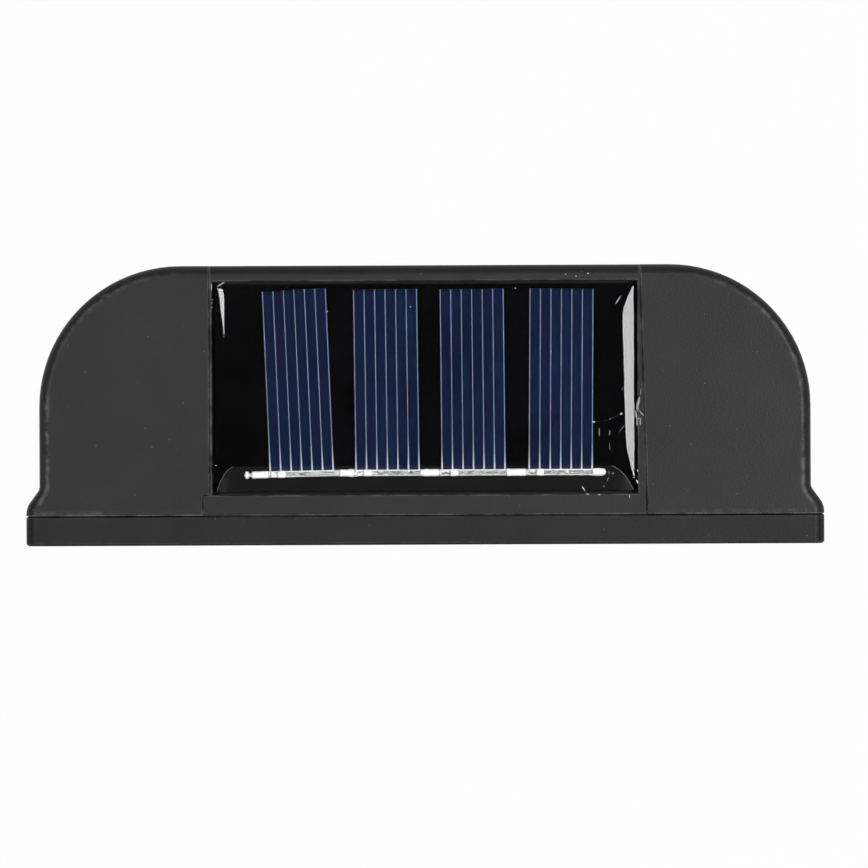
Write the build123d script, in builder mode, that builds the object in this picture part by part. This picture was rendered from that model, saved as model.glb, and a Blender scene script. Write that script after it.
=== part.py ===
from build123d import *
import os

os.makedirs("parts", exist_ok=True)

# Solar wall light. Millimetres, +Z up. The wall is the plane y = 0 and the lamp's front faces -Y,
# so the origin is the middle of the face that lies on the wall.

# Driving dimensions: the wall plate and the hood
plate_height = 56.0
plate_thickness = 4.3
plate_edge_break = 0.3
hood_width = 110.4  # across the flanks, in front of the flange
hood_corner_radius = 20.2
hood_wall = 2.0
roof_thickness = 2.0
rail_thickness = 2.0  # floor of the back box
lens_opening_radius = 5.0  # where the brow runs into the back box
rim_radius = 1.5  # rounded top and bottom rims
flange_reach = 1.9  # the flange stands this far out from the flanks
flange_edge = 1.2  # straight edge of the flange at the seam
flare_depth = 2.6  # sloping run from the flank out to the flange
flare_round = 1.4
pad_height = 0.5  # the roof's two end pads stand above the band that holds the panel
pad_edge_break = 0.2
band_margin_front = 0.3  # from the pocket to the pads, at the front edge
band_margin_rear = 1.3  # and at the seam
pad_step_gap = 0.1  # the +X pad runs beside the pocket and steps out this far behind it

# Driving dimensions: the solar panel and its pocket
panel_length = 60.0
panel_width = 29.7
panel_gap = 0.4  # between the panel and its pocket, all round
panel_front_margin = 2.3  # from the hood's front to the pocket
panel_rear_margin = 2.9  # from the pocket to the seam
panel_proud = 0.25  # the resin stands this far above the band
panel_board_thickness = 1.2
resin_thickness = 1.4
resin_corner_radius = 1.2
resin_edge_radius = 1.1
tape_thickness = 0.5
tape_margin = 1.5
tape_width = 3.0
pocket_floor = 1.4
pocket_wall = 1.6
pocket_edge_break = 0.12
cell_margin = 1.6  # from the cells' ends to the panel's long edges
cell_end_margin = 6.45  # from the outer cells to the panel's short edges
cell_gap = 3.3  # between one cell and the next
cell_thickness = 0.25
cell_shift = -0.7  # the cells lie nearer the front edge of the panel
cell_turns = (-0.5, 0.4, 0.6, 2.3)  # hand-laid cells, in degrees, from -X to +X
cell_slips = (-0.6, -0.55, -0.8, -0.75)  # how far each was laid from its even place
ribbon_width = 1.1
ribbon_thickness = 0.2
ribbon_lap = 0.1  # past the cells' rear ends
ribbon_overhang = 3.0  # past the outer cells
lead_slot_length = 6.0
lead_slot_width = 3.0

# Driving dimensions: the lens and the white reflector tray behind it
lens_wall = 1.8
lens_gap = 0.15  # between the lens and the hood that it is bonded into
lens_lip = 4.0  # height of lens inside the brow
lens_lap = 2.5  # depth of lens inside the back box
lens_edge_radius = 2.4
flute_radius = 0.7
flute_pitch = 2.4
flute_depth = 0.45  # how far a flute stands in from the lens wall
tray_thickness = 1.6
tray_gap = 0.3
tray_wall_setback = 0.7  # the tray's back wall stands this far inside the lens's rear edge
tray_post_inset = 8.05  # from the tray's ends to its posts
tray_post_radius = 3.0
cup_height = 5.0
cup_mouth_radius = 6.5
cup_throat_radius = 2.7
cup_wall = 1.2

# Driving dimensions: lights, battery, board and switch
led_count = 4
led_length = 3.5
led_width = 2.8
led_height = 0.8
phosphor_radius = 1.1
phosphor_depth = 0.3
led_board_width = 9.0
led_board_overhang = 7.0  # past the outer lights
led_board_gap = 2.0  # from the board's ends to the tray posts
board_thickness = 1.2
battery_radius = 5.25
battery_length = 44.5
battery_nub_radius = 1.9
battery_nub_length = 0.8
battery_edge_break = 0.5
battery_clear = 0.35  # behind the battery, to the keyhole pockets
battery_lift = 0.5  # between the battery and the tray
battery_gap = 0.15
holder_spacing = 1.5  # from the battery holder to the control board
saddle_thickness = 1.6
saddle_spread = 28.0
holder_width = 8.5
holder_drop = 1.0  # the end walls stop this far below the battery's top
contact_thickness = 0.4
contact_width = 7.5
contact_tab_height = 2.0
contact_tab_width = 2.4
spring_length = 3.3
spring_radius = 2.8
spring_wire = 0.6
spring_turns = 4
control_board_width = 20.0
control_board_gap = 2.35  # beside the board, to the keyhole pocket
control_board_standoff = 1.7  # behind the board, to the wall plate
control_board_lift = 3.5  # above the back box's floor
control_board_rise = 6.4  # above the tray
board_post_radius = 2.3
board_post_spread_x = 14.0
board_post_spread_z = 14.0
switch_width = 6.0
switch_depth = 4.0
switch_height = 7.0
plunger_radius = 1.2
plunger_gap = 0.1
plunger_inside = 2.5
button_radius = 2.5
button_gap = 0.1
button_flange = 0.6
button_flange_thickness = 0.8
button_proud = 1.0
button_edge_radius = 0.5
button_travel = 0.9
button_reserve = 0.9  # clear above the button when it is pressed home
button_clear = 1.0  # from the button's flange to the lens
chip_length = 4.9
chip_width = 3.9
chip_height = 1.5
inductor_radius = 1.5
inductor_length = 7.0
inductor_edge_break = 0.5
lead_diameter = 1.1
lead_sides = 8
lead_bend = 2.0
lead_spacing = 3.0  # between soldered ends on a board
lead_clear = 0.8
panel_lead_ends = (2.0, 6.0)  # soldered ends, from the control board's middle
led_lead_ends = (4.0, 8.5)
lead_room = 2.65  # between the battery and the panel's pocket

# Driving dimensions: fixings, seal and keyholes
boss_radius = 3.2
boss_bite = 0.6  # how far a boss runs into the walls beside it
boss_clear = 1.0  # between a boss and the lens
plate_screw_radius = 1.4
plate_screw_length = 9.0
plate_screw_head_radius = 2.8
plate_screw_head_height = 1.9
screw_head_sink = 0.3  # below the plate's rear face
tray_screw_radius = 1.1
tray_screw_length = 8.0
tray_screw_head_radius = 2.3
tray_screw_head_height = 1.5
board_screw_radius = 0.9
board_screw_length = 5.0
board_screw_head_radius = 1.8
board_screw_head_height = 1.0
cut_over = 1.0  # how far a cut runs out past the block
thread_gap = 0.05  # between a screw and the hole that it cuts its thread in
clearance_gap = 0.3  # between a screw and the hole that it passes through
screw_tip_gap = 0.8
seal_width = 1.2
seal_thickness = 0.9
seal_gap = 0.05
keyhole_spread = 80.0
keyhole_entry_z = 6.0
keyhole_entry_radius = 4.25
keyhole_slot_width = 4.4
keyhole_rise = 8.0
keyhole_lip = 2.0
keyhole_cavity = 4.0
keyhole_wall = 1.4

# The hood's plan, from the panel that it holds
plate_width = hood_width + 2 * flange_reach
hood_depth = panel_front_margin + panel_width + 2 * panel_gap + panel_rear_margin
plate_half = plate_width / 2
hood_half = hood_width / 2
inner_half = hood_half - hood_wall
seam_y = -plate_thickness
front_y = seam_y - hood_depth
flange_y = seam_y - flange_edge
flare_y = flange_y - flare_depth
pocket_length = panel_length + 2 * panel_gap
pocket_width = panel_width + 2 * panel_gap
panel_y = front_y + panel_front_margin + pocket_width / 2
band_half_front = pocket_length / 2 + band_margin_front
band_half_rear = pocket_length / 2 + band_margin_rear

# Heights, from the roof down through the panel and the battery to the brow
top_z = plate_height / 2
bottom_z = -plate_height / 2
roof_z = top_z - pad_height
ceiling_z = roof_z - roof_thickness
rail_z = bottom_z + rail_thickness
cell_z = roof_z + panel_proud - resin_thickness
board_z = cell_z - panel_board_thickness
pocket_z = board_z - tape_thickness
pocket_under_z = pocket_z - pocket_floor
battery_z = pocket_under_z - lead_room - battery_radius
tray_top_z = battery_z - battery_radius - battery_lift
tray_z = tray_top_z - tray_thickness
lens_top_z = tray_z
brow_z = lens_top_z - lens_lip
lens_bottom_z = rail_z + lens_gap
lens_floor_z = lens_bottom_z + lens_wall
led_board_z = tray_z + cup_height
board_top_z = tray_top_z + control_board_rise
control_board_z = rail_z + control_board_lift
control_board_mid_z = (control_board_z + board_top_z) / 2
button_top_z = rail_z + button_flange_thickness
switch_z = button_top_z + button_travel + button_reserve
holder_top_z = battery_z + battery_radius - holder_drop

# Depths, from the wall plate forward through the board and the switch to the lens
control_board_rear_y = seam_y - control_board_standoff
control_board_y = control_board_rear_y - board_thickness
switch_y = control_board_y - switch_depth / 2
lens_rear_y = switch_y - button_radius - button_flange - button_clear
back_box_y = lens_rear_y - lens_lap
boss_length = seam_y - lens_rear_y - boss_clear
tray_wall_y = lens_rear_y - tray_wall_setback
keyhole_front_y = -(keyhole_lip + keyhole_cavity + keyhole_wall)
battery_y = keyhole_front_y - battery_clear - battery_radius
lens_inset = hood_wall + lens_gap
lens_half = hood_half - lens_inset
led_y = (front_y + lens_inset + lens_wall + tray_wall_y - tray_thickness) / 2

# Places across the lamp
screw_x = inner_half - boss_radius + boss_bite
screw_high_z = ceiling_z - boss_radius + boss_bite
screw_low_z = rail_z + boss_radius - boss_bite
keyhole_x = keyhole_spread / 2
keyhole_mid_z = keyhole_entry_z + keyhole_rise / 2
control_board_half = control_board_width / 2
control_board_x = (
    keyhole_x - keyhole_entry_radius - keyhole_wall - control_board_gap - control_board_half
)
battery_right_x = (
    control_board_x - control_board_half - holder_spacing - saddle_thickness - contact_thickness
)
battery_left_x = battery_right_x - battery_length
battery_x = (battery_left_x + battery_right_x) / 2
contact_left_x = battery_left_x - spring_length
holder_left_x = contact_left_x - contact_thickness
holder_right_x = battery_right_x + contact_thickness
tray_post_x = lens_half - tray_post_inset
led_board_half = tray_post_x - tray_post_radius - led_board_gap
led_pitch = 2 * (led_board_half - led_board_overhang) / (led_count - 1)
cell_count = len(cell_turns)
cell_pitch = (panel_length - 2 * cell_end_margin + cell_gap) / cell_count
cell_width = cell_pitch - cell_gap
cell_length = panel_width - 2 * cell_margin
cell_y = panel_y + cell_shift

# Places that repeat
screw_spots = [(x, z) for x in (-screw_x, screw_x) for z in (screw_low_z, screw_high_z)]
tray_post_spots = [(x, led_y) for x in (-tray_post_x, tray_post_x)]
led_spots = [((i - (led_count - 1) / 2) * led_pitch, led_y) for i in range(led_count)]
led_post_spots = [(x, led_y) for x in (-control_board_x, control_board_x)]
board_post_spots = [
    (control_board_x + side * board_post_spread_x / 2, control_board_mid_z + side * board_post_spread_z / 2)
    for side in (-1, 1)
]
cell_spots = [
    ((i - (cell_count - 1) / 2) * cell_pitch + slip, turn)
    for i, (slip, turn) in enumerate(zip(cell_slips, cell_turns))
]
keyhole_spots = [(x, keyhole_mid_z) for x in (-keyhole_x, keyhole_x)]


def save(piece, name):
    """Names a finished piece and writes its file."""
    piece.part.label = name
    export_step(piece.part, f"parts/{name}.step")


def hood_plan(inset, rear_y):
    """The hood's D-shaped plan without its flange, drawn in by inset and open at rear_y."""
    near_y = front_y + inset
    with BuildSketch(mode=Mode.PRIVATE) as plan:
        with Locations((0, (near_y + rear_y) / 2)):
            Rectangle(hood_width - 2 * inset, rear_y - near_y)
        fillet(plan.vertices().group_by(Axis.Y)[0], hood_corner_radius - inset)
    return plan.sketch


def screw(radius, length, head_radius, head_height):
    """A screw along +Z, with the underside of its head at z = 0."""
    rim = head_height / 3
    with BuildPart(mode=Mode.PRIVATE) as body:
        with BuildSketch(Plane.XZ):
            with BuildLine():
                Polyline(
                    (0, head_height),
                    (head_radius - rim, head_height),
                    (head_radius, head_height - rim),
                    (head_radius, 0),
                    (radius, 0),
                    (radius, 2 * radius - length),
                    (radius / 3, -length),
                    (0, -length),
                    close=True,
                )
            make_face()
        revolve(axis=Axis.Z)
    return body.part


def screw_group(one, spots):
    """One node of identical screws, one solid at each place."""
    with BuildPart() as group:
        for spot in spots:
            add(spot * one)
    return group


def lead(name, points):
    """An insulated lead along straight runs with rounded bends."""
    with BuildPart() as wire:
        with BuildLine() as route:
            FilletPolyline(*points, radius=lead_bend)
        with BuildSketch(Plane(origin=route.line @ 0, z_dir=route.line % 0)):
            RegularPolygon(lead_diameter / 2, lead_sides)
        sweep()
    save(wire, name)


# Hood block: the flared D-shaped plan raised to the roof, with its rims rounded
with BuildPart() as hood_block:
    with BuildSketch(Plane.XY.offset(bottom_z)):
        with BuildLine():
            FilletPolyline(
                (plate_half, seam_y),
                (plate_half, flange_y),
                (hood_half, flare_y),
                (hood_half, front_y),
                (-hood_half, front_y),
                (-hood_half, flare_y),
                (-plate_half, flange_y),
                (-plate_half, seam_y),
                radius=(
                    0,
                    flare_round + rim_radius,
                    flare_round,
                    hood_corner_radius,
                    hood_corner_radius,
                    flare_round,
                    flare_round + rim_radius,
                    0,
                ),
                close=True,
            )
        make_face()
    extrude(amount=roof_z - bottom_z)
    rims = [f.edges() for f in hood_block.faces().filter_by(Axis.Z)]
    fillet([e for rim in rims for e in rim if e.center().Y < seam_y - flange_edge / 20], rim_radius)

# Pads: the two ends of the roof, lifted above the band between them
with BuildPart() as pads:
    add(hood_block.part.moved(Location((0, 0, pad_height))))
    with BuildSketch(Plane.XY.offset(roof_z - rim_radius - pad_height)):
        with BuildLine():
            Polyline(
                (-band_half_rear, seam_y),
                (-plate_half, seam_y),
                (-plate_half, front_y),
                (-band_half_front, front_y),
                close=True,
            )
        make_face()
        with BuildLine():
            step_y = seam_y - panel_rear_margin + pad_step_gap
            Polyline(
                (band_half_rear, seam_y),
                (plate_half, seam_y),
                (plate_half, front_y),
                (band_half_front, front_y),
                (band_half_front, step_y),
                (band_half_rear, step_y),
                close=True,
            )
        make_face()
    extrude(amount=rim_radius + 2 * pad_height, mode=Mode.INTERSECT)
    pad_edges = pads.faces().filter_by(Axis.Z).group_by(Axis.Z)[-1].edges()
    chamfer([e for e in pad_edges if abs(e.center().X) < band_half_rear + pad_edge_break], pad_edge_break)

# Hood: roof, brow and back box in one shell
with BuildPart() as hood:
    add(hood_block.part)
    add(pads.part)
    # Below the brow the front is open for the lens
    with BuildSketch(Plane.YZ):
        with BuildLine():
            FilletPolyline(
                (front_y - cut_over, bottom_z - cut_over),
                (front_y - cut_over, brow_z),
                (back_box_y, brow_z),
                (back_box_y, bottom_z - cut_over),
                radius=(0, 0, lens_opening_radius, 0),
                close=True,
            )
        make_face()
    extrude(amount=plate_width, both=True, mode=Mode.SUBTRACT)
    # The hollow inside, open to the plate behind
    with BuildSketch(Plane.XY.offset(rail_z)):
        add(hood_plan(hood_wall, seam_y))
    extrude(amount=ceiling_z - rail_z, mode=Mode.SUBTRACT)
    # The panel's pocket hangs below the roof
    with BuildSketch(Plane.XY.offset(pocket_under_z)):
        with Locations((0, panel_y)):
            Rectangle(pocket_length + 2 * pocket_wall, pocket_width + 2 * pocket_wall)
    extrude(amount=ceiling_z - pocket_under_z)
    with BuildSketch(Plane.XY.offset(pocket_z)):
        with Locations((0, panel_y)):
            Rectangle(pocket_length, pocket_width)
    extrude(amount=roof_z - pocket_z, mode=Mode.SUBTRACT)
    with BuildSketch(Plane.XY.offset(roof_z)):
        with Locations((0, panel_y)):
            Rectangle(pocket_length + 2 * pocket_edge_break, pocket_width + 2 * pocket_edge_break)
    extrude(amount=-pocket_edge_break, taper=45, mode=Mode.SUBTRACT)
    with BuildSketch(Plane.XY.offset(pocket_z)):
        with Locations((0, panel_y)):
            SlotOverall(lead_slot_length, lead_slot_width)
    extrude(amount=-pocket_floor, mode=Mode.SUBTRACT)
    # Bosses for the plate screws, run into the corners of the back box
    with BuildSketch(Plane.XZ.offset(plate_thickness)):
        with Locations(*screw_spots):
            Circle(boss_radius)
    extrude(amount=boss_length)
    with BuildSketch(Plane.XZ.offset(plate_thickness)):
        with Locations(*screw_spots):
            Circle(plate_screw_radius + thread_gap)
    extrude(amount=boss_length, mode=Mode.SUBTRACT)
    # Posts for the tray screws
    with BuildSketch(Plane.XY.offset(tray_top_z)):
        with Locations(*tray_post_spots):
            Circle(tray_post_radius)
    extrude(amount=ceiling_z - tray_top_z)
    with BuildSketch(Plane.XY.offset(tray_top_z)):
        with Locations(*tray_post_spots):
            Circle(tray_screw_radius + thread_gap)
    extrude(amount=tray_screw_length - tray_thickness + screw_tip_gap, mode=Mode.SUBTRACT)
    # The button's hole in the floor of the back box
    with BuildSketch(Plane.XY.offset(bottom_z)):
        with Locations((control_board_x, switch_y)):
            Circle(button_radius + button_gap)
    extrude(amount=rail_thickness, mode=Mode.SUBTRACT)
save(hood, "hood")

# Wall plate: closes the back, hangs on two keyholes
with BuildPart() as back_plate:
    with BuildSketch(Plane.XZ):
        Rectangle(plate_width, plate_height)
    extrude(amount=plate_thickness)
    fillet(back_plate.edges().filter_by(Axis.Y), rim_radius)
    chamfer(back_plate.faces().filter_by(Axis.Y).edges(), plate_edge_break)
    # Closed pockets behind the keyholes, so that the hollow stays dry
    with BuildSketch(Plane.XZ.offset(plate_thickness)):
        with Locations(*keyhole_spots):
            SlotCenterToCenter(keyhole_rise, 2 * (keyhole_entry_radius + keyhole_wall), rotation=90)
    extrude(amount=seam_y - keyhole_front_y)
    with BuildSketch(Plane.XZ.offset(keyhole_lip)):
        with Locations(*keyhole_spots):
            SlotCenterToCenter(keyhole_rise, 2 * keyhole_entry_radius, rotation=90)
    extrude(amount=keyhole_cavity, mode=Mode.SUBTRACT)
    with BuildSketch(Plane.XZ):
        with Locations(*[(x, keyhole_entry_z) for x in (-keyhole_x, keyhole_x)]):
            Circle(keyhole_entry_radius)
        with Locations(*keyhole_spots):
            SlotCenterToCenter(keyhole_rise, keyhole_slot_width, rotation=90)
    extrude(amount=keyhole_lip, mode=Mode.SUBTRACT)
    # Screw holes, counterbored from the wall side
    with BuildSketch(Plane.XZ):
        with Locations(*screw_spots):
            Circle(plate_screw_head_radius + clearance_gap)
    extrude(amount=plate_screw_head_height + screw_head_sink, mode=Mode.SUBTRACT)
    with BuildSketch(Plane.XZ):
        with Locations(*screw_spots):
            Circle(plate_screw_radius + clearance_gap)
    extrude(amount=plate_thickness, mode=Mode.SUBTRACT)
    # The seal's groove runs round under the hood's rear rim
    seal_x = (inner_half + plate_half) / 2
    seal_high_z = (ceiling_z + roof_z) / 2
    seal_low_z = (rail_z + bottom_z) / 2
    seal_mid_z = (seal_high_z + seal_low_z) / 2
    with BuildSketch(Plane.XZ.offset(plate_thickness)):
        with Locations((0, seal_mid_z)):
            groove_width = seal_width + 2 * seal_gap
            RectangleRounded(
                2 * seal_x + groove_width, seal_high_z - seal_low_z + groove_width, rim_radius + groove_width
            )
            RectangleRounded(
                2 * seal_x - groove_width,
                seal_high_z - seal_low_z - groove_width,
                rim_radius,
                mode=Mode.SUBTRACT,
            )
    extrude(amount=-seal_thickness, mode=Mode.SUBTRACT)
save(back_plate, "back_plate")

with BuildPart() as housing_seal:
    with BuildSketch(Plane.XZ.offset(plate_thickness)):
        with Locations((0, seal_mid_z)):
            RectangleRounded(
                2 * seal_x + seal_width,
                seal_high_z - seal_low_z + seal_width,
                rim_radius + seal_width + seal_gap,
            )
            RectangleRounded(
                2 * seal_x - seal_width,
                seal_high_z - seal_low_z - seal_width,
                rim_radius + seal_gap,
                mode=Mode.SUBTRACT,
            )
    extrude(amount=-seal_thickness)
save(housing_seal, "housing_seal")

# Plate screws, driven from the wall side
plate_screw = screw(
    plate_screw_radius, plate_screw_length, plate_screw_head_radius, plate_screw_head_height
)
plate_screw_y = -(plate_screw_head_height + screw_head_sink)
plate_screws = screw_group(
    plate_screw, [Location((x, plate_screw_y, z), (-90, 0, 0)) for x, z in screw_spots]
)
save(plate_screws, "plate_screws")

# Lens: a clear D-shaped cup with upright flutes inside its wall
with BuildPart() as lens:
    with BuildSketch(Plane.XY.offset(lens_bottom_z)):
        add(hood_plan(lens_inset, lens_rear_y))
    extrude(amount=lens_top_z - lens_bottom_z)
    bottom_edges = lens.faces().sort_by(Axis.Z)[0].edges()
    fillet(bottom_edges.filter_by(lambda e: e.center().Y < lens_rear_y - lens_wall), lens_edge_radius)
    inner_plan = hood_plan(lens_inset + lens_wall, lens_rear_y)
    fluted_wall = Wire(
        [e for e in inner_plan.edges() if e.center().Y < lens_rear_y - lens_wall]
    )
    flute_run = fluted_wall.length - 2 * (lens_rear_y - back_box_y + flute_pitch)
    flute_count = int(flute_run / flute_pitch)
    with BuildSketch(Plane.XY.offset(lens_floor_z)):
        add(inner_plan)
        for i in range(flute_count + 1):
            along = (fluted_wall.length - flute_run) / 2 + flute_run * i / flute_count
            spot = fluted_wall.position_at(along, PositionMode.LENGTH)
            inward = fluted_wall.tangent_at(along, PositionMode.LENGTH).rotate(Axis.Z, 90)
            to_middle = Vector(0, led_y) - spot
            outward = inward if inward.dot(to_middle) < 0 else -inward
            centre = spot + outward * (flute_radius - flute_depth)
            with Locations(centre):
                Circle(flute_radius, mode=Mode.SUBTRACT)
    extrude(amount=lens_top_z - lens_floor_z, mode=Mode.SUBTRACT)
save(lens, "lens")

# Reflector tray: white, carries the lights, the battery and the control board
tray_wall_half = lens_half - lens_wall - tray_gap
with BuildPart() as reflector_tray:
    with BuildSketch(Plane.XY.offset(tray_z)):
        add(hood_plan(lens_inset, tray_wall_y))
        # The battery's shelf runs on over the back box
        shelf_rear_y = battery_y + battery_radius - battery_gap
        shelf_left_x = holder_left_x - saddle_thickness
        shelf_right_x = holder_right_x + saddle_thickness
        with Locations(((shelf_left_x + shelf_right_x) / 2, (tray_wall_y + shelf_rear_y) / 2)):
            Rectangle(shelf_right_x - shelf_left_x, shelf_rear_y - tray_wall_y)
    extrude(amount=tray_thickness)
    # Back wall of the light chamber
    with BuildSketch(Plane.XY.offset(tray_z)):
        with Locations((0, tray_wall_y - tray_thickness / 2)):
            Rectangle(2 * tray_wall_half, tray_thickness)
    extrude(amount=-(tray_z - lens_floor_z - tray_gap))
    # A cone-shaped cup round each light
    with Locations(*[(x, y, tray_z) for x, y in led_spots]):
        Cone(
            cup_mouth_radius + cup_wall,
            cup_throat_radius + cup_wall,
            cup_height,
            align=(Align.CENTER, Align.CENTER, Align.MIN),
        )
        Cone(
            cup_mouth_radius,
            cup_throat_radius,
            cup_height,
            align=(Align.CENTER, Align.CENTER, Align.MIN),
            mode=Mode.SUBTRACT,
        )
    # Posts under the light board
    with BuildSketch(Plane.XY.offset(tray_top_z)):
        with Locations(*led_post_spots):
            Circle(board_post_radius)
    extrude(amount=led_board_z - tray_top_z)
    with BuildSketch(Plane.XY.offset(led_board_z)):
        with Locations(*led_post_spots):
            Circle(board_screw_radius + thread_gap)
    extrude(amount=-(board_screw_length - board_thickness + screw_tip_gap), mode=Mode.SUBTRACT)
    # Posts for the control board
    with BuildSketch(Plane.XZ.offset(-control_board_y)):
        with Locations(*board_post_spots):
            Circle(board_post_radius)
    extrude(amount=control_board_y - tray_wall_y)
    with BuildSketch(Plane.XZ.offset(-control_board_y)):
        with Locations(*board_post_spots):
            Circle(board_screw_radius + thread_gap)
    extrude(amount=board_screw_length - board_thickness + screw_tip_gap, mode=Mode.SUBTRACT)
    # Saddles under the battery and end walls for its contacts
    for x in (battery_x - saddle_spread / 2, battery_x + saddle_spread / 2):
        with BuildSketch(Plane.YZ.offset(x - saddle_thickness / 2)):
            with Locations((battery_y, (tray_top_z + battery_z) / 2)):
                Rectangle(2 * (battery_radius - battery_gap), battery_z - tray_top_z)
            with Locations((battery_y, battery_z)):
                Circle(battery_radius + battery_gap, mode=Mode.SUBTRACT)
        extrude(amount=saddle_thickness)
    for x in (holder_left_x - saddle_thickness, holder_right_x):
        with BuildSketch(Plane.YZ.offset(x)):
            with Locations((battery_y, (tray_top_z + holder_top_z) / 2)):
                Rectangle(holder_width, holder_top_z - tray_top_z)
        extrude(amount=saddle_thickness)
    # Holes for the screws that hold the tray up in the hood
    with BuildSketch(Plane.XY.offset(tray_z)):
        with Locations(*tray_post_spots):
            Circle(tray_screw_radius + clearance_gap)
    extrude(amount=tray_thickness, mode=Mode.SUBTRACT)
save(reflector_tray, "reflector_tray")

tray_screw = screw(
    tray_screw_radius, tray_screw_length, tray_screw_head_radius, tray_screw_head_height
)
tray_screws = screw_group(
    tray_screw, [Location((x, y, tray_z), (180, 0, 0)) for x, y in tray_post_spots]
)
save(tray_screws, "tray_screws")

# Solar panel: board, four silicon cells, tinned ribbon, clear resin over all, foam tape under
with BuildPart() as panel_board:
    with BuildSketch(Plane.XY.offset(board_z)):
        with Locations((0, panel_y)):
            Rectangle(panel_length, panel_width)
    extrude(amount=panel_board_thickness)
save(panel_board, "panel_board")

with BuildPart() as panel_tape:
    with BuildSketch(Plane.XY.offset(pocket_z)):
        with Locations((0, panel_y)):
            outer_margin = 2 * tape_margin
            inner_margin = 2 * (tape_margin + tape_width)
            Rectangle(panel_length - outer_margin, panel_width - outer_margin)
            Rectangle(panel_length - inner_margin, panel_width - inner_margin, mode=Mode.SUBTRACT)
    extrude(amount=tape_thickness)
save(panel_tape, "panel_tape")

cells = []
for number, (x, turn) in enumerate(cell_spots, start=1):
    with BuildPart() as cell:
        with BuildSketch(Plane.XY.offset(cell_z)):
            with Locations(Location((x, cell_y), turn)):
                Rectangle(cell_width, cell_length)
        extrude(amount=cell_thickness)
    cells.append(cell)
    save(cell, f"solar_cell_{number}")

# The ribbon lies on the cells' rear bus bars and reaches past the outer cells to the board's pads
ribbon_z = cell_z + cell_thickness
ribbon_y = cell_y + cell_length / 2 + ribbon_lap - ribbon_width / 2
ribbon_length = cell_pitch * cell_count - cell_gap + 2 * ribbon_overhang
ribbon_x = sum(cell_slips) / cell_count
with BuildPart() as cell_ribbon:
    with BuildSketch(Plane.XY.offset(ribbon_z)):
        with Locations((ribbon_x, ribbon_y)):
            Rectangle(ribbon_length, ribbon_width)
    extrude(amount=ribbon_thickness)
    # Feet down to the board at both ends
    with BuildSketch(Plane.XY.offset(cell_z)):
        foot_length = ribbon_overhang / 2
        for side in (-1, 1):
            with Locations((ribbon_x + side * (ribbon_length - foot_length) / 2, ribbon_y)):
                Rectangle(foot_length, ribbon_width)
    extrude(amount=cell_thickness)
save(cell_ribbon, "cell_ribbon")

with BuildPart() as panel_resin:
    with BuildSketch(Plane.XY.offset(cell_z)):
        with Locations((0, panel_y)):
            Rectangle(panel_length, panel_width)
    extrude(amount=resin_thickness)
    fillet(panel_resin.edges().filter_by(Axis.Z), resin_corner_radius)
    fillet(panel_resin.faces().sort_by(Axis.Z)[-1].edges(), resin_edge_radius)
    for cell in cells:
        add(cell.part, mode=Mode.SUBTRACT)
    add(cell_ribbon.part, mode=Mode.SUBTRACT)
save(panel_resin, "panel_resin")

# Light board with its lights facing down into the cups
with BuildPart() as led_board:
    with BuildSketch(Plane.XY.offset(led_board_z)):
        with Locations((0, led_y)):
            Rectangle(2 * led_board_half, led_board_width)
        with Locations(*led_post_spots):
            Circle(board_screw_radius + clearance_gap, mode=Mode.SUBTRACT)
    extrude(amount=board_thickness)
save(led_board, "led_board")

led_face_z = led_board_z - led_height
for number, (x, y) in enumerate(led_spots, start=1):
    with BuildPart() as led:
        with BuildSketch(Plane.XY.offset(led_face_z)):
            with Locations((x, y)):
                Rectangle(led_length, led_width)
        extrude(amount=led_height)
        with BuildSketch(Plane.XY.offset(led_face_z)):
            with Locations((x, y)):
                Circle(phosphor_radius)
        extrude(amount=phosphor_depth, mode=Mode.SUBTRACT)
    save(led, f"led_{number}")

with BuildPart() as led_phosphor:
    with BuildSketch(Plane.XY.offset(led_face_z)):
        with Locations(*led_spots):
            Circle(phosphor_radius)
    extrude(amount=phosphor_depth)
save(led_phosphor, "led_phosphor")

# Rechargeable cell on its saddles, with a sprung contact at one end and a plate at the other
with BuildPart() as battery:
    with BuildSketch(Plane.XZ.offset(-battery_y)):
        with BuildLine():
            can_right_x = battery_right_x - battery_nub_length
            Polyline(
                (battery_left_x, battery_z),
                (battery_left_x, battery_z + battery_radius - battery_edge_break),
                (battery_left_x + battery_edge_break, battery_z + battery_radius),
                (can_right_x - battery_edge_break, battery_z + battery_radius),
                (can_right_x, battery_z + battery_radius - battery_edge_break),
                (can_right_x, battery_z + battery_nub_radius),
                (battery_right_x, battery_z + battery_nub_radius),
                (battery_right_x, battery_z),
                close=True,
            )
        make_face()
    revolve(axis=Axis((0, battery_y, battery_z), (1, 0, 0)))
save(battery, "battery")

for name, x in (("contact_plate", battery_right_x), ("spring_plate", contact_left_x - contact_thickness)):
    with BuildPart() as contact:
        with BuildSketch(Plane.YZ.offset(x)):
            plate_top_z = holder_top_z - contact_tab_height
            with Locations((battery_y, (tray_top_z + plate_top_z) / 2)):
                Rectangle(contact_width, plate_top_z - tray_top_z)
            with Locations((battery_y, (plate_top_z + holder_top_z + contact_tab_height) / 2)):
                Rectangle(contact_tab_width, holder_top_z + contact_tab_height - plate_top_z)
        extrude(amount=contact_thickness)
    save(contact, name)

# The spring's turns end square on the plate and on the battery
spring_pitch = (spring_length - spring_wire) / spring_turns
with BuildPart() as contact_spring:
    with BuildLine() as spring_line:
        Helix(
            pitch=spring_pitch,
            height=spring_length - spring_wire,
            radius=spring_radius,
            center=(contact_left_x + spring_wire / 2, battery_y, battery_z),
            direction=(1, 0, 0),
        )
    with BuildSketch(Plane(origin=spring_line.line @ 0, z_dir=spring_line.line % 0)):
        RegularPolygon(spring_wire / 2, lead_sides)
    sweep(is_frenet=True)
save(contact_spring, "contact_spring")

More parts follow.
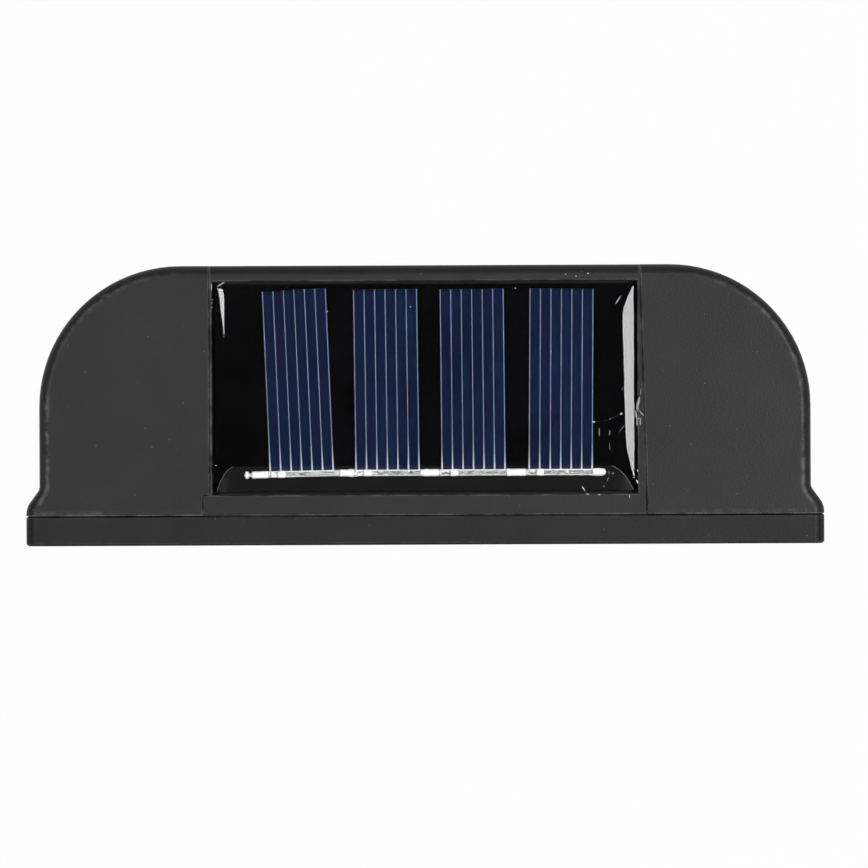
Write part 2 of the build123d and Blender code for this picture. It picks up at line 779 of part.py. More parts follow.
# Control board, upright behind the tray
with BuildPart() as control_board:
    with BuildSketch(Plane.XZ.offset(-control_board_rear_y)):
        with Locations((control_board_x, control_board_mid_z)):
            Rectangle(control_board_width, board_top_z - control_board_z)
        with Locations(*board_post_spots):
            Circle(board_screw_radius + clearance_gap, mode=Mode.SUBTRACT)
    extrude(amount=board_thickness)
save(control_board, "control_board")

board_screw = screw(
    board_screw_radius, board_screw_length, board_screw_head_radius, board_screw_head_height
)
board_screws = screw_group(
    board_screw,
    [Location((x, y, led_board_z + board_thickness)) for x, y in led_post_spots]
    + [Location((x, control_board_rear_y, z), (-90, 0, 0)) for x, z in board_post_spots],
)
save(board_screws, "board_screws")

chip_z = control_board_mid_z + board_post_spread_z / 2
with BuildPart() as driver_chip:
    with BuildSketch(Plane.XZ.offset(-control_board_y)):
        with Locations((control_board_x - board_post_spread_x / 2, chip_z)):
            Rectangle(chip_width, chip_length)
    extrude(amount=chip_height)
save(driver_chip, "driver_chip")

with BuildPart() as inductor:
    inductor_z = control_board_mid_z - board_post_spread_z / 2
    with BuildSketch(Plane.XY.offset(inductor_z - inductor_length / 2)):
        with Locations((control_board_x + board_post_spread_x / 2, control_board_y - inductor_radius)):
            Circle(inductor_radius)
    extrude(amount=inductor_length)
    chamfer(inductor.edges().filter_by(GeomType.CIRCLE), inductor_edge_break)
save(inductor, "inductor")

# Latching switch under the board's lower end, its plunger and the button that presses it
with BuildPart() as switch_body:
    with BuildSketch(Plane.XY.offset(switch_z)):
        with Locations((control_board_x, switch_y)):
            Rectangle(switch_width, switch_depth)
    extrude(amount=switch_height)
    with BuildSketch(Plane.XY.offset(switch_z)):
        with Locations((control_board_x, switch_y)):
            Circle(plunger_radius + plunger_gap)
    extrude(amount=plunger_inside + button_travel + button_reserve, mode=Mode.SUBTRACT)
save(switch_body, "switch_body")

with BuildPart() as switch_plunger:
    with BuildSketch(Plane.XY.offset(button_top_z)):
        with Locations((control_board_x, switch_y)):
            Circle(plunger_radius)
    extrude(amount=switch_z - button_top_z + plunger_inside)
save(switch_plunger, "switch_plunger")

with BuildPart() as button:
    with BuildSketch(Plane.XY.offset(bottom_z - button_proud)):
        with Locations((control_board_x, switch_y)):
            Circle(button_radius)
    extrude(amount=button_proud + rail_thickness)
    fillet(button.faces().sort_by(Axis.Z)[0].edges(), button_edge_radius)
    with BuildSketch(Plane.XY.offset(rail_z)):
        with Locations((control_board_x, switch_y)):
            Circle(button_radius + button_flange)
    extrude(amount=button_flange_thickness)
save(button, "button")

# Leads inside the hollow: panel to board, battery to board, board to lights
lead_drop_z = pocket_under_z - lead_clear - lead_diameter / 2
panel_lead_end_z = board_top_z - lead_spacing
for side, end_x, name in zip((-1, 1), panel_lead_ends, ("panel_lead_black", "panel_lead_red")):
    start_x = side * lead_slot_length / 4
    along_y = battery_y - battery_radius - side * lead_spacing / 2
    lead(
        name,
        [
            (start_x, panel_y, board_z),
            (start_x, panel_y, lead_drop_z),
            (start_x, along_y, lead_drop_z),
            (control_board_x + end_x, along_y, lead_drop_z),
            (control_board_x + end_x, control_board_y - 2 * lead_spacing, panel_lead_end_z),
            (control_board_x + end_x, control_board_y, panel_lead_end_z),
        ],
    )
tab_z = holder_top_z + contact_tab_height / 2
low_end_z = board_top_z - 2 * lead_spacing
lead(
    "battery_lead_red",
    [
        (holder_right_x, battery_y, tab_z),
        (control_board_x - 3 * lead_spacing, battery_y, tab_z),
        (control_board_x - 2 * lead_spacing, control_board_y - 2 * lead_spacing, low_end_z),
        (control_board_x - 2 * lead_spacing, control_board_y, low_end_z),
    ],
)
battery_lead_x = holder_left_x - saddle_thickness - lead_spacing
battery_lead_y = battery_y - battery_radius - lead_clear - lead_diameter
lead(
    "battery_lead_black",
    [
        (holder_left_x, battery_y, tab_z),
        (battery_lead_x, battery_y, tab_z),
        (battery_lead_x, battery_lead_y, battery_z),
        (holder_right_x + 2 * lead_spacing, battery_lead_y, battery_z),
        (control_board_x - lead_spacing / 2, control_board_y - 2 * lead_spacing, low_end_z),
        (control_board_x - lead_spacing / 2, control_board_y, low_end_z),
    ],
)
led_pad_z = led_board_z + board_thickness
for end_x, name in zip(led_lead_ends, ("led_lead_black", "led_lead_red")):
    lead(
        name,
        [
            (control_board_x + end_x, led_y, led_pad_z),
            (control_board_x + end_x, led_y, led_pad_z + 2 * lead_spacing),
            (control_board_x + end_x, control_board_y - 2 * lead_spacing, low_end_z),
            (control_board_x + end_x, control_board_y, low_end_z),
        ],
    )
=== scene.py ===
import math
import random

import bmesh
import bpy
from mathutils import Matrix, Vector, noise
from mathutils.bvhtree import BVHTree


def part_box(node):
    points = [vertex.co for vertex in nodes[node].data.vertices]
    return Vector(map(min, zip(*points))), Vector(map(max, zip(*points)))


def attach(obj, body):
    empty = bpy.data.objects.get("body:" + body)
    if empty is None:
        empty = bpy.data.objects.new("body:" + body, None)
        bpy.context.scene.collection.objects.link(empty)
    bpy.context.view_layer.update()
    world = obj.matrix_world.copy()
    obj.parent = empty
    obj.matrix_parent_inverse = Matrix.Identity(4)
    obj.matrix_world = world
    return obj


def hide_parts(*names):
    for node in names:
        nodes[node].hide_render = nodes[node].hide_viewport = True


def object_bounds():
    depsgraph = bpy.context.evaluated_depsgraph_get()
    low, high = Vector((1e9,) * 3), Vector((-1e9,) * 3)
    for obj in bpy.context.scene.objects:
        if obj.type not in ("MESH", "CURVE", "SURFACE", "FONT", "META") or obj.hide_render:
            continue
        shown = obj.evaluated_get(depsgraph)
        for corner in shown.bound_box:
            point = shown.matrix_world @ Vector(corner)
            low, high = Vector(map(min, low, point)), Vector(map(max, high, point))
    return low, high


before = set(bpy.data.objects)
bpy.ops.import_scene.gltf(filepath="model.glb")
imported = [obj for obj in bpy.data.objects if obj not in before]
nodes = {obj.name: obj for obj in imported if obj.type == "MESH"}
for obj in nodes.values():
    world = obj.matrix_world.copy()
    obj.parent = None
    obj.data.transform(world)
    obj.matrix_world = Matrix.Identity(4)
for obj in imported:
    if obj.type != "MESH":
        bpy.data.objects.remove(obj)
cadLow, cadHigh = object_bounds()
mm = 0.001
print("frame:", len(nodes), "nodes")


# Small tools for node trees and pieces

def makeNode(tree, kind, inputs=None, **settings):
    node = tree.nodes.new(kind)
    for key, value in settings.items():
        setattr(node, key, value)
    for key, value in (inputs or {}).items():
        if isinstance(value, bpy.types.NodeSocket):
            tree.links.new(value, node.inputs[key])
        else:
            node.inputs[key].default_value = value
    return node


def firstOf(tree, kind, inputs=None, **settings):
    return makeNode(tree, kind, inputs, **settings).outputs[0]


def doMath(tree, operation, first, second=0.0, clamp=False):
    values = {0: first, 1: second}
    return firstOf(tree, "ShaderNodeMath", values, operation=operation, use_clamp=clamp)


def times(tree, first, second, clamp=False):
    return doMath(tree, "MULTIPLY", first, second, clamp)


def mapValue(tree, value, fromLow, fromHigh, toLow=0.0, toHigh=1.0, smooth=False):
    return firstOf(
        tree,
        "ShaderNodeMapRange",
        {"Value": value, "From Min": fromLow, "From Max": fromHigh, "To Min": toLow, "To Max": toHigh},
        interpolation_type="SMOOTHSTEP" if smooth else "LINEAR",
    )


def mixColour(tree, factor, first, second):
    node = makeNode(tree, "ShaderNodeMix", {0: factor}, data_type="RGBA")
    for socket, value in ((node.inputs[6], first), (node.inputs[7], second)):
        if isinstance(value, bpy.types.NodeSocket):
            tree.links.new(value, socket)
        else:
            socket.default_value = (*value, 1.0)
    return node.outputs[2]


def objectPoint(tree, scale=(1, 1, 1)):
    place = makeNode(tree, "ShaderNodeTexCoord").outputs["Object"]
    return firstOf(tree, "ShaderNodeMapping", {"Vector": place, "Scale": scale})


def scaleFor(tree, size):
    # The scale that makes a texture's cells this many millimetres
    return doMath(tree, "DIVIDE", 1 / mm, size)


def cloudOf(tree, place, scale, detail, roughness):
    values = {"Vector": place, "Scale": scale, "Detail": detail, "Roughness": roughness}
    return makeNode(tree, "ShaderNodeTexNoise", values).outputs["Fac"]


def cellsOf(tree, place, scale):
    return makeNode(tree, "ShaderNodeTexVoronoi", {"Vector": place, "Scale": scale}).outputs


def partOf(tree, vector, axis):
    return makeNode(tree, "ShaderNodeSeparateXYZ", {0: vector}).outputs[axis]


def trueNormal(tree):
    return makeNode(tree, "ShaderNodeNewGeometry").outputs["Normal"]


def softNormal(tree, reach):
    # The normal as if edges were rounded, with the reach in millimetres
    return makeNode(tree, "ShaderNodeBevel", {"Radius": times(tree, reach, mm)}, samples=6).outputs["Normal"]


def addBump(tree, shader, height, strength, distance):
    bump = makeNode(tree, "ShaderNodeBump", {"Height": height, "Strength": strength, "Distance": distance})
    tree.links.new(bump.outputs[0], shader.inputs["Normal"])


def newMaterial(name):
    material = bpy.data.materials.new(name)
    material.use_nodes = True
    tree = material.node_tree
    return material, tree, tree.nodes["Principled BSDF"]


def newPiece(name, mesh):
    piece = bpy.data.objects.new(name, mesh)
    bpy.context.scene.collection.objects.link(piece)
    return piece


def pieceFromBmesh(name, bm):
    mesh = bpy.data.meshes.new(name)
    bm.to_mesh(mesh)
    bm.free()
    return newPiece(name, mesh)


def applyModifier(piece, modifier):
    view = bpy.context.evaluated_depsgraph_get()
    mesh = bpy.data.meshes.new_from_object(piece.evaluated_get(view), depsgraph=view)
    piece.modifiers.remove(modifier)
    piece.data = mesh
    return piece


def smoothFaces(bm):
    for face in bm.faces:
        face.smooth = True


def bridgeLoops(bm, loops):
    for near, far in zip(loops, loops[1:]):
        for i in range(len(near)):
            after = (i + 1) % len(near)
            bm.faces.new((near[i], near[after], far[after], far[i]))


def finishPiece(piece, material, stands=(), body="lamp"):
    if material:
        piece.data.materials.clear()
        piece.data.materials.append(material)
    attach(piece, body)
    if stands:
        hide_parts(*stands)


# Effects that several finishes share

def newGroup(name, inputs, outputs):
    tree = bpy.data.node_groups.new(name, "ShaderNodeTree")
    for label, value in inputs.items():
        tree.interface.new_socket(label, in_out="INPUT", socket_type="NodeSocketFloat").default_value = value
    for label in outputs:
        tree.interface.new_socket(label, in_out="OUTPUT", socket_type="NodeSocketFloat")
    return tree, makeNode(tree, "NodeGroupInput").outputs, makeNode(tree, "NodeGroupOutput").inputs


def useGroup(tree, group, values):
    node = makeNode(tree, "ShaderNodeGroup", node_tree=group)
    for label, value in values.items():
        node.inputs[label].default_value = value
    return node.outputs


# In each effect's values, a cloud is its detail and roughness, and a mask where it is none and where full

grainLook = {"pits": (3.0, 0.62), "beads": 0.5, "slow": (2.0, 0.5), "tone": (0.3, 0.7), "fineTone": 0.25}


def buildMouldGrain():
    # Fine pits of a spark-finished mould, and the slow drift of tone over a large face
    tree, given, result = newGroup("mouldGrain", {"Grain": 0.3, "Drift": 9.0}, ("Height", "Tone"))
    place = objectPoint(tree)
    fineScale = scaleFor(tree, given["Grain"])
    pits = cloudOf(tree, place, fineScale, *grainLook["pits"])
    beads = cellsOf(tree, place, fineScale)["Distance"]
    slow = cloudOf(tree, place, scaleFor(tree, given["Drift"]), *grainLook["slow"])
    tree.links.new(doMath(tree, "ADD", pits, times(tree, beads, grainLook["beads"])), result["Height"])
    fineTone = mapValue(tree, pits, *grainLook["tone"], -grainLook["fineTone"], grainLook["fineTone"])
    slowTone = mapValue(tree, slow, *grainLook["tone"])
    tree.links.new(doMath(tree, "ADD", slowTone, fineTone, clamp=True), result["Tone"])
    return tree


wearHighlightLook = {"edge": (0.995, 0.9), "breaks": (4.0, 0.7), "broken": (0.38, 0.62)}


def buildEdgeWear():
    # Rubbed and burred edges, which on the black housing also serve as painted edge highlights: where a
    # rounded normal leaves the true one, broken up along the edge
    tree, given, result = newGroup("edgeWearAndHighlight", {"Reach": 0.3, "Amount": 1.0, "Breaks": 3.0}, ("Mask",))
    normals = {0: softNormal(tree, given["Reach"]), 1: trueNormal(tree)}
    along = makeNode(tree, "ShaderNodeVectorMath", normals, operation="DOT_PRODUCT").outputs["Value"]
    edge = mapValue(tree, along, *wearHighlightLook["edge"])
    breaks = cloudOf(tree, objectPoint(tree), scaleFor(tree, given["Breaks"]), *wearHighlightLook["breaks"])
    rubbedAndHighlit = times(tree, edge, mapValue(tree, breaks, *wearHighlightLook["broken"]))
    tree.links.new(times(tree, rubbedAndHighlit, given["Amount"], clamp=True), result["Mask"])
    return tree


dustLook = {
    "upward": (0.3, 0.95), "cloud": (5.0, 0.5), "cloudScale": 90.0, "film": (0.4, 0.75),
    "chosen": (0.988, 0.99),  # about one cell in ninety holds a speck
    "dot": (0.28, 0.12),
}


def buildSettledDust():
    # Dust on the faces that look up, in specks and a faint film
    tree, given, result = newGroup("settledDust", {"Film": 0.1, "Specks": 0.5, "Size": 0.5}, ("Mask",))
    place = objectPoint(tree)
    upward = mapValue(tree, partOf(tree, trueNormal(tree), "Z"), *dustLook["upward"])
    cloud = cloudOf(tree, place, dustLook["cloudScale"], *dustLook["cloud"])
    film = times(tree, mapValue(tree, cloud, *dustLook["film"]), given["Film"])
    dots = cellsOf(tree, place, scaleFor(tree, given["Size"]))
    chosen = makeNode(tree, "ShaderNodeSeparateColor", {0: dots["Color"]}).outputs["Red"]
    rare = mapValue(tree, chosen, *dustLook["chosen"])
    small = mapValue(tree, dots["Distance"], *dustLook["dot"])
    specks = times(tree, times(tree, rare, small), given["Specks"])
    both = doMath(tree, "MAXIMUM", film, specks)
    tree.links.new(times(tree, both, upward, clamp=True), result["Mask"])
    return tree


recessLook = {"hidden": (0.45, 0.1)}


def buildRecessShade():
    # Painted shade in narrow gaps and corners, darkened by ambient occlusion where less light reaches
    tree, given, result = newGroup("recessShade", {"Reach": 1.5, "Amount": 0.8}, ("Mask",))
    reach = times(tree, given["Reach"], mm)
    openness = makeNode(tree, "ShaderNodeAmbientOcclusion", {"Distance": reach}, samples=8).outputs["AO"]
    hidden = mapValue(tree, openness, *recessLook["hidden"])
    tree.links.new(times(tree, hidden, given["Amount"], clamp=True), result["Mask"])
    return tree


def buildSteepShade():
    # Painted shade: steep faces darker than the level ones, by how far the normal turns from up
    tree, given, result = newGroup("steepShade", {"Level": 0.98, "Steep": 0.6}, ("Mask",))
    facing = partOf(tree, trueNormal(tree), "Z")
    tree.links.new(mapValue(tree, facing, given["Level"], given["Steep"]), result["Mask"])
    return tree


rubHighlightLook = {
    "begun": (0.9995, 0.985), "done": (0.90, 0.96),
    "cloud": (3.0, 0.5), "Breaks": (0.36, 0.62), "Patches": (0.40, 0.58),
}


def buildRimRub():
    # Pale patches where an upper face starts to turn down, towards the two ends that hands hold: partly
    # rubbing, partly a painted highlight along the rim
    sizes = {"Amount": 0.5, "Reach": 1.1, "Breaks": 1.2, "Patches": 16.0, "Inner": 31.0, "Outer": 44.0}
    tree, given, result = newGroup("rimRubAndHighlight", sizes, ("Mask",))
    place = objectPoint(tree)
    facing = partOf(tree, softNormal(tree, given["Reach"]), "Z")
    begun, done = (mapValue(tree, facing, *rubHighlightLook[label]) for label in ("begun", "done"))
    aside = doMath(tree, "ABSOLUTE", partOf(tree, place, "X"))
    held = mapValue(tree, doMath(tree, "DIVIDE", aside, mm), given["Inner"], given["Outer"])
    rubbedAndHighlit = times(tree, times(tree, begun, done), held)
    for label in ("Breaks", "Patches"):
        cloud = cloudOf(tree, place, scaleFor(tree, given[label]), *rubHighlightLook["cloud"])
        rubbedAndHighlit = times(tree, rubbedAndHighlit, mapValue(tree, cloud, *rubHighlightLook[label]))
    tree.links.new(times(tree, rubbedAndHighlit, given["Amount"], clamp=True), result["Mask"])
    return tree


scratchLook = {"stretch": (2600, 110, 300), "cloud": (1.0, 0.5), "lines": (0.70, 0.76)}


def buildHairScratches():
    # Hair-fine scratches that run mostly one way
    tree, given, result = newGroup("hairScratches", {"Amount": 0.3, "Turn": 0.4}, ("Mask",))
    place = makeNode(tree, "ShaderNodeTexCoord").outputs["Object"]
    turned = makeNode(tree, "ShaderNodeVectorRotate", {"Vector": place, "Angle": given["Turn"]})
    stretch = {"Vector": turned.outputs[0], "Scale": scratchLook["stretch"]}
    streaked = firstOf(tree, "ShaderNodeMapping", stretch)
    streaks = cloudOf(tree, streaked, 1.0, *scratchLook["cloud"])
    lines = mapValue(tree, streaks, *scratchLook["lines"])
    tree.links.new(times(tree, lines, given["Amount"], clamp=True), result["Mask"])
    return tree


mouldGrain = buildMouldGrain()
edgeWearAndHighlight = buildEdgeWear()
settledDust = buildSettledDust()
hairScratches = buildHairScratches()
recessShade = buildRecessShade()
steepShade = buildSteepShade()
rimRubAndHighlight = buildRimRub()

# What all the finishes share
common = {
    "dust": (0.16, 0.16, 0.155), "dustFilm": 0.05, "dustRoughness": 0.3, "grime": (0.001, 0.001, 0.001),
    "scratchGain": 2.2, "markRoughness": 0.35,
    "drift": 30.0, "relief": 0.2,  # times the grain
}

# Opaque finishes: two tones, the range of roughness, grain in millimetres, and what time has left on them,
# with painted shade on steep faces and in recesses and painted highlights on edges and rims
finishes = {
    "mouldedBlackHousing": {
        "deep": (0.0136, 0.0136, 0.0142), "pale": (0.0163, 0.0163, 0.0171),
        "rough": (0.40, 0.46), "grain": 0.28, "bump": 0.3, "shine": 0.21,
        "steepShadeTone": (0.0065, 0.0065, 0.0068), "wornAndHighlight": (0.17, 0.17, 0.175), "wearAndHighlight": 0.9, "rubAndHighlight": 0.55,
        "recess": 0.95, "film": 0.03, "specks": 0.4, "scratch": 0.10,
    },
    "mouldedBlackPlate": {
        "deep": (0.0086, 0.0086, 0.0091), "pale": (0.0108, 0.0108, 0.0113),
        "rough": (0.42, 0.48), "grain": 0.28, "bump": 0.3, "shine": 0.18,
        "steepShadeTone": (0.0055, 0.0055, 0.0058), "wornAndHighlight": (0.10, 0.10, 0.105), "wearAndHighlight": 0.6, "rubAndHighlight": 0.12,
        "film": 0.03, "specks": 0.4, "scratch": 0.08,
    },
    "sealFoam": {
        "deep": (0.012, 0.012, 0.012), "pale": (0.03, 0.03, 0.03),
        "rough": (0.8, 0.95), "grain": 0.5, "bump": 0.6,
    },
    "zincSteel": {
        "deep": (0.46, 0.46, 0.44), "pale": (0.62, 0.62, 0.60),
        "rough": (0.25, 0.42), "grain": 0.2, "bump": 0.12, "metal": 1.0,
        "wornAndHighlight": (0.75, 0.75, 0.74), "wearAndHighlight": 0.5,
        "scratch": 0.3,
    },
    "whiteReflector": {
        "deep": (0.74, 0.74, 0.71), "pale": (0.82, 0.82, 0.79),
        "rough": (0.28, 0.38), "grain": 0.6, "bump": 0.05,
        "specks": 0.2,
    },
    "blackPanelBoard": {
        "deep": (0.0016, 0.0016, 0.0018), "pale": (0.0030, 0.0030, 0.0034),
        "rough": (0.45, 0.6), "grain": 0.4, "bump": 0.1, "shine": 0.0,
    },
    "foamTape": {
        "deep": (0.66, 0.65, 0.61), "pale": (0.8, 0.79, 0.76),
        "rough": (0.85, 0.95), "grain": 0.35, "bump": 0.5,
    },
    "silverPaste": {
        "deep": (0.142, 0.172, 0.256), "pale": (0.208, 0.245, 0.352),
        "rough": (0.4, 0.6), "grain": 0.12, "bump": 0.2, "shine": 0.1,
        "foot": (0.62, 0.63, 0.65),
    },
    "paleLintAndGlints": {
        "deep": (0.5, 0.5, 0.5), "pale": (0.78, 0.78, 0.78),
        "rough": (0.6, 0.8), "grain": 0.15, "bump": 0.2,
    },
    "tornPlastic": {
        "deep": (0.20, 0.20, 0.20), "pale": (0.36, 0.36, 0.36),
        "rough": (0.5, 0.7), "grain": 0.2, "bump": 0.3,
    },
    "greenBoard": {
        "deep": (0.012, 0.09, 0.03), "pale": (0.02, 0.13, 0.045),
        "rough": (0.25, 0.4), "grain": 1.4, "bump": 0.15,
        "wornAndHighlight": (0.5, 0.42, 0.2), "wearAndHighlight": 0.5,
        "specks": 0.3,
    },
    "whiteLedCase": {
        "deep": (0.78, 0.78, 0.74), "pale": (0.86, 0.86, 0.83),
        "rough": (0.3, 0.42), "grain": 0.3, "bump": 0.08,
    },
    "yellowPhosphor": {
        "deep": (0.74, 0.50, 0.04), "pale": (0.86, 0.66, 0.09),
        "rough": (0.22, 0.35), "grain": 0.15, "bump": 0.15,
    },
    "greenBatteryWrap": {
        "deep": (0.012, 0.10, 0.05), "pale": (0.02, 0.15, 0.075),
        "rough": (0.22, 0.34), "grain": 3.0, "bump": 0.08,
        "wornAndHighlight": (0.3, 0.36, 0.32), "wearAndHighlight": 0.5,
        "scratch": 0.15,
    },
    "nickelContact": {
        "deep": (0.52, 0.49, 0.43), "pale": (0.66, 0.63, 0.57),
        "rough": (0.2, 0.36), "grain": 0.25, "bump": 0.1, "metal": 1.0,
        "scratch": 0.4,
    },
    "blackChipMould": {
        "deep": (0.012, 0.012, 0.013), "pale": (0.022, 0.022, 0.023),
        "rough": (0.5, 0.65), "grain": 0.15, "bump": 0.25,
    },
    "greenLacquer": {
        "deep": (0.10, 0.26, 0.17), "pale": (0.16, 0.36, 0.25),
        "rough": (0.3, 0.45), "grain": 0.8, "bump": 0.15,
    },
    "whiteSwitchNylon": {
        "deep": (0.72, 0.71, 0.66), "pale": (0.8, 0.79, 0.75),
        "rough": (0.4, 0.5), "grain": 0.4, "bump": 0.1,
    },
    "softButtonRubber": {
        "deep": (0.014, 0.014, 0.015), "pale": (0.024, 0.024, 0.025),
        "rough": (0.62, 0.78), "grain": 0.22, "bump": 0.3,
        "wornAndHighlight": (0.06, 0.06, 0.06), "wearAndHighlight": 0.6,
        "specks": 0.4,
    },
    "blackLeadSleeve": {
        "deep": (0.012, 0.012, 0.012), "pale": (0.022, 0.022, 0.022),
        "rough": (0.4, 0.55), "grain": 0.5, "bump": 0.1,
    },
    "redLeadSleeve": {
        "deep": (0.36, 0.012, 0.012), "pale": (0.5, 0.022, 0.02),
        "rough": (0.4, 0.55), "grain": 0.5, "bump": 0.1,
    },
}


def makeFinish(name, look):
    material, tree, shader = newMaterial(name)
    grain = useGroup(tree, mouldGrain, {"Grain": look["grain"], "Drift": common["drift"] * look["grain"]})
    tone = mixColour(tree, grain["Tone"], look["deep"], look["pale"])
    rough = mapValue(tree, grain["Tone"], 0.0, 1.0, *look["rough"])
    # Painted shade on steep faces
    if "steepShadeTone" in look:
        tone = mixColour(tree, useGroup(tree, steepShade, {})["Mask"], tone, look["steepShadeTone"])
    if "scratch" in look:
        scratch = useGroup(tree, hairScratches, {"Amount": look["scratch"]})
        pale = tuple(min(1.0, common["scratchGain"] * part) for part in look["pale"])
        tone = mixColour(tree, scratch["Mask"], tone, pale)
    # Pale edges: wear, and on the housing also painted edge highlights
    if "wearAndHighlight" in look:
        wearAndHighlight = useGroup(tree, edgeWearAndHighlight, {"Amount": look["wearAndHighlight"]})
        tone = mixColour(tree, wearAndHighlight["Mask"], tone, look["wornAndHighlight"])
    # Pale rim patches, part rubbing and part painted highlight
    if "rubAndHighlight" in look:
        rubAndHighlight = useGroup(tree, rimRubAndHighlight, {"Amount": look["rubAndHighlight"]})
        tone = mixColour(tree, rubAndHighlight["Mask"], tone, look["wornAndHighlight"])
    if "specks" in look:
        film = look.get("film", common["dustFilm"])
        dust = useGroup(tree, settledDust, {"Film": film, "Specks": look["specks"]})["Mask"]
        tone = mixColour(tree, dust, tone, common["dust"])
        rough = doMath(tree, "ADD", rough, times(tree, dust, common["dustRoughness"]), clamp=True)
    if "foot" in look:
        foot = makeNode(tree, "ShaderNodeAttribute", attribute_name="foot").outputs["Fac"]
        tone = mixColour(tree, foot, tone, look["foot"])
    # Painted shade: gaps and corners darkened towards near black
    if "recess" in look:
        shade = useGroup(tree, recessShade, {"Amount": look["recess"]})
        tone = mixColour(tree, shade["Mask"], tone, common["grime"])
    addBump(tree, shader, grain["Height"], look["bump"], common["relief"] * look["grain"] * mm)
    tree.links.new(tone, shader.inputs["Base Color"])
    tree.links.new(rough, shader.inputs["Roughness"])
    shader.inputs["Metallic"].default_value = look.get("metal", 0.0)
    shader.inputs["Specular IOR Level"].default_value = look.get("shine", 0.5)
    return material


finish = {name: makeFinish(name, look) for name, look in finishes.items()}
print("finishes:", len(finish))

# Clear and coated finishes

siliconLook = {
    "navy": (0.0035, 0.0082, 0.0295), "teal": (0.0037, 0.0120, 0.0327), "violet": (0.0061, 0.0076, 0.0280),
    "streak": 0.9, "streakLength": 12.5, "cloud": (2.0, 0.5),
    "tealFrom": (0.52, 0.68), "violetFrom": (0.46, 0.32),
    "crystal": 6.0, "uneven": 0.12, "roughness": (0.3, 0.42), "shine": 0.02,
}


def makeSilicon(look):
    material, tree, shader = newMaterial("blueSilicon")
    fine = 1 / (look["streak"] * mm)
    streaked = objectPoint(tree, (fine, fine / look["streakLength"], fine))
    streak = cloudOf(tree, streaked, 1.0, *look["cloud"])
    crystals = cellsOf(tree, objectPoint(tree), 1 / (look["crystal"] * mm))["Color"]
    facet = makeNode(tree, "ShaderNodeSeparateColor", {0: crystals}).outputs
    tone = mixColour(tree, mapValue(tree, streak, *look["tealFrom"]), look["navy"], look["teal"])
    tone = mixColour(tree, mapValue(tree, streak, *look["violetFrom"]), tone, look["violet"])
    shade = mapValue(tree, facet["Red"], 0.0, 1.0, 1 - look["uneven"], 1 + look["uneven"])
    scaled = makeNode(tree, "ShaderNodeVectorMath", {0: tone}, operation="SCALE")
    tree.links.new(shade, scaled.inputs["Scale"])
    tree.links.new(scaled.outputs[0], shader.inputs["Base Color"])
    tree.links.new(mapValue(tree, facet["Green"], 0.0, 1.0, *look["roughness"]), shader.inputs["Roughness"])
    shader.inputs["Specular IOR Level"].default_value = look["shine"]
    return material


def makeClear(name, look):
    # Clear stuff that lets the lamps' light straight through to what lies in it
    material, tree, shader = newMaterial(name)
    grain = useGroup(tree, mouldGrain, {"Grain": look["grain"], "Drift": look["drift"]})
    scratch = useGroup(tree, hairScratches, {"Amount": look["scratch"], "Turn": look["turn"]})
    dustAmounts = {"Film": look["film"], "Specks": look["specks"], "Size": look["speckSize"]}
    dust = useGroup(tree, settledDust, dustAmounts)
    marks = doMath(tree, "MAXIMUM", scratch["Mask"], dust["Mask"])
    clean = mapValue(tree, grain["Tone"], 0.0, 1.0, *look["rough"])
    marked = doMath(tree, "ADD", clean, times(tree, marks, common["markRoughness"]))
    tree.links.new(marked, shader.inputs["Roughness"])
    tree.links.new(mixColour(tree, grain["Tone"], *look["tint"]), shader.inputs["Base Color"])
    addBump(tree, shader, grain["Height"], look["bump"], look["relief"] * mm)
    shader.inputs["Transmission Weight"].default_value = 1.0
    shader.inputs["IOR"].default_value = look["ior"]
    passing = makeNode(tree, "ShaderNodeBsdfTransparent", {"Color": (*look["shadow"], 1.0)})
    shadowRay = makeNode(tree, "ShaderNodeLightPath").outputs["Is Shadow Ray"]
    mixed = makeNode(tree, "ShaderNodeMixShader", {0: shadowRay, 1: shader.outputs[0], 2: passing.outputs[0]})
    tree.links.new(mixed.outputs[0], tree.nodes["Material Output"].inputs["Surface"])
    return material


clearLooks = {
    "clearResin": {
        "tint": ((0.97, 0.975, 0.98), (1.0, 1.0, 1.0)), "shadow": (0.96, 0.965, 0.97), "ior": 1.36,
        "rough": (0.01, 0.03), "grain": 6.0, "drift": 12.0, "bump": 0.004, "relief": 0.01,
        "scratch": 0.12, "turn": 0.9, "film": 0.0, "specks": 0.35, "speckSize": 0.4,
    },
    "clearLens": {
        "tint": ((0.95, 0.965, 0.965), (0.985, 0.99, 0.99)), "shadow": (0.93, 0.95, 0.95), "ior": 1.49,
        "rough": (0.03, 0.08), "grain": 1.2, "drift": 20.0, "bump": 0.06, "relief": 0.01,
        "scratch": 0.2, "turn": 0.2, "film": 0.02, "specks": 0.2, "speckSize": 0.4,
    },
}

solderLook = {
    "bus": (0.36, 0.36, 0.36), "busDark": (0.05, 0.053, 0.05), "lump": (0.95, 0.95, 0.94), "grain": 0.28,
    "busMetal": 0.25, "lumpMetal": 0.05,
    "streak": (0.6, 0.13, 1.0), "cloud": (2.0, 0.5), "busFrom": (0.36, 0.58),
    "drift": 2.0, "rough": (0.28, 0.5), "bump": 0.3, "relief": 0.05,
}


